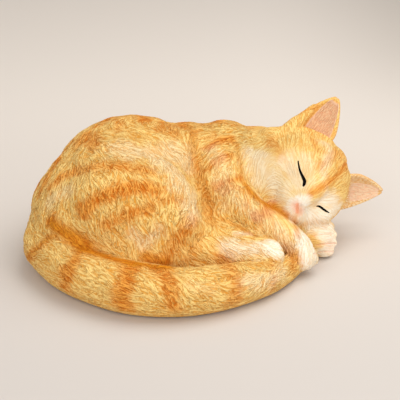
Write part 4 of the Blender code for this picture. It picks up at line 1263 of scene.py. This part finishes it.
def makeEyeLine(name, tree):
    form = eyeLines[name]
    line = smoothLine([(x, y, wide) for (x, y), wide in zip(form["corners"], form["widths"])], lineSteps)
    rays = [photoRay(step[0], step[1]) for step in line]
    hits = [tree.ray_cast(*ray) for ray in rays]
    spots = []
    for n, (start, way) in enumerate(rays):
        near = hits[max(n - eyeSmoothing, 0):n + eyeSmoothing + 1]
        out = sum((hit[1] for hit in near), Vector()).normalized()
        spots.append((start + way * (sum(hit[3] for hit in near) / len(near)), out))
    bm = bmesh.new()
    rings = []
    for n, (step, (spot, out)) in enumerate(zip(line, spots)):
        before, after = spots[max(n - 1, 0)][0], spots[min(n + 1, len(spots) - 1)][0]
        side = (after - before).normalized().cross(out).normalized() * step[2] * pixel / 2
        rings.append([bm.verts.new(spot + side * share + out * lift) for share, lift in eyeProfile])
    for one, two in zip(rings, rings[1:]):
        for n in range(len(one)):
            bm.faces.new((one[n], one[n - 1], two[n - 1], two[n]))
    bm.faces.new(rings[0])
    bm.faces.new(list(reversed(rings[-1])))
    return objectFrom(bm, name)


# The plainer finishes: scale and detail of their grain, roughness and how much the grain adds to it, the two
# colours that the grain mixes, scale, detail and depth of their relief, and what is the same all over
finishes = {
    "eye_line": {
        "grain": (1400.0, 3.0), "roughness": (0.7, 0.2), "tones": (colour(4, 3, 3), colour(14, 11, 10)),
        "relief": (1400.0, 3.0, 0.00002), "fixed": {"Specular_IOR_Level": 0.06},
    },
    "base_board": {
        "grain": (90.0, 4.0), "roughness": (0.8, 0.0), "tones": (colour(98, 76, 58), colour(128, 102, 80)),
        "relief": (700.0, 3.0, 0.0001),
    },
    "plug_rubber": {
        "grain": (160.0, 3.0), "roughness": (0.55, 0.2), "tones": (colour(34, 34, 35), colour(54, 53, 52)),
    },
    "pad_felt": {
        "grain": (1600.0, 4.0), "roughness": (0.95, 0.0), "tones": (colour(52, 47, 43), colour(92, 84, 77)),
        "relief": (1600.0, 4.0, 0.0002),
    },
    "pin_steel": {
        "grain": (500.0, 3.0), "roughness": (0.25, 0.2),
        "fixed": {"Metallic": 1.0, "Base_Color": (0.55, 0.55, 0.56)},
    },
}


def finish(name):
    look = finishes[name]
    paint = Paint(name + "_paint")
    grain = paint.cloud(*look["grain"])
    roughness, change = look["roughness"]
    paint.set(Roughness=grain * change + roughness if change else roughness, **look.get("fixed", {}))
    if "tones" in look:
        paint.set(Base_Color=paint.tone(*look["tones"], grain))
    if "relief" in look:
        scale, detail, depth = look["relief"]
        paint.set(Normal=paint.relief(paint.cloud(scale, detail), depth))
    return paint.material


headTree = treeOf(skins["head"])
blackPaint = finish("eye_line")
eyes = [makeEyeLine(name, headTree) for name in eyeLines]
for eye in eyes:
    eye.data.shade_smooth()
    eye.data.materials.append(blackPaint)
report("eye lines")

# The pieces below are the frame's own solids
slotOf = {part["node"]: part["material_slot"] for part in frame["record"]["subparts"]}
slotPaints = {slot: finish(slot) for slot in ("base_board", "plug_rubber", "pad_felt", "pin_steel")}
for name, node in frame["nodes"].items():
    if slotOf[name] in slotPaints:
        node.data.materials.clear()
        node.data.materials.append(slotPaints[slotOf[name]])

for name, skin in skins.items():
    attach(skin, "root")
    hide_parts(name)
for eye in eyes:
    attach(eye, "root")
report("pieces on their body")


# Table, backdrop and light
studio = {
    # painted light on the paper: darker near the front, lighter far back, and painted shade towards the right
    "near": colour(204, 197, 191),
    "far": colour(233, 224, 215),
    "shade": colour(190, 181, 172),  # towards the right of the backdrop
    "farFrom": (-0.25, 0.45),        # along Y, where the far tone comes in
    "shadeSide": (0.05, 0.45),       # along X, and along Y, where the shade comes in
    "shadeDepth": (0.1, 0.6),
    "roughness": 0.9,
    "side": 5.0,                     # half the paper's width
    "floor": (-3.0, 0.3, 2.4),       # the flat part's places along Y
    "bend": (1.2, 0.1, 14),          # radius, first angle and steps of the curve
    "back": (3.6, 4.0),              # top edge
    "lamps": {  # power, size, place, tint
        "key": (7.2, 0.9, (0.36, 0.06, 1.00), (1.0, 0.98, 0.95)),
        "fill": (5.5, 1.2, (-0.35, -1.0, 0.55), (1.0, 1.0, 1.0)),
        "low": (2.4, 0.6, (0.55, -0.9, 0.32), (1.0, 1.0, 1.0)),
    },
    "lampTarget": (0.0, 0.0, 0.04),
    "sky": 0.58,
    "skyTint": (1.0, 0.985, 0.96, 1.0),
}


def makeSweep():
    bm = bmesh.new()
    radius, firstAngle, steps = studio["bend"]
    start = studio["floor"][-1]
    profile = [(y, 0.0) for y in studio["floor"]]
    for angle in np.linspace(firstAngle, math.pi / 2, steps):
        profile.append((start + radius * math.sin(angle), radius - radius * math.cos(angle)))
    profile.append(studio["back"])
    rows = [[bm.verts.new((x, y, z)) for x in (-studio["side"], studio["side"])] for y, z in profile]
    for one, two in zip(rows, rows[1:]):
        bm.faces.new((one[0], one[1], two[1], two[0]))
    sweep = objectFrom(bm, "paper_sweep")
    sweep.data.shade_smooth()
    paint = Paint("paper")
    side, depth = (paint.node("ShaderNodeSeparateXYZ", None, {0: paint.place()}, out=axis) for axis in "XY")
    tone = paint.tone(studio["near"], studio["far"], paint.between(depth, *studio["farFrom"]))
    shaded = paint.between(side, *studio["shadeSide"]) * paint.between(depth, *studio["shadeDepth"])
    tone = paint.tone(tone, studio["shade"], shaded)
    sweep.data.materials.append(paint.set(Base_Color=tone, Roughness=studio["roughness"]))
    return sweep


def makeLamp(name, power, size, place, tint):
    data = bpy.data.lights.new(name, "AREA")
    data.energy = power
    data.size = size
    data.color = tint
    lamp = bpy.data.objects.new(name, data)
    lamp.location = place
    lamp.rotation_euler = (Vector(studio["lampTarget"]) - lamp.location).to_track_quat("-Z", "Y").to_euler()
    bpy.context.scene.collection.objects.link(lamp)


def makeWorld():
    world = bpy.data.worlds.new("studio_air")
    world.use_nodes = True
    air = world.node_tree.nodes["Background"]
    air.inputs["Color"].default_value = studio["skyTint"]
    air.inputs["Strength"].default_value = studio["sky"]
    bpy.context.scene.world = world


makeSweep()
for name, lamp in studio["lamps"].items():
    makeLamp(name, *lamp)
makeWorld()
bpy.context.scene.view_settings.view_transform = "Standard"
report("studio")
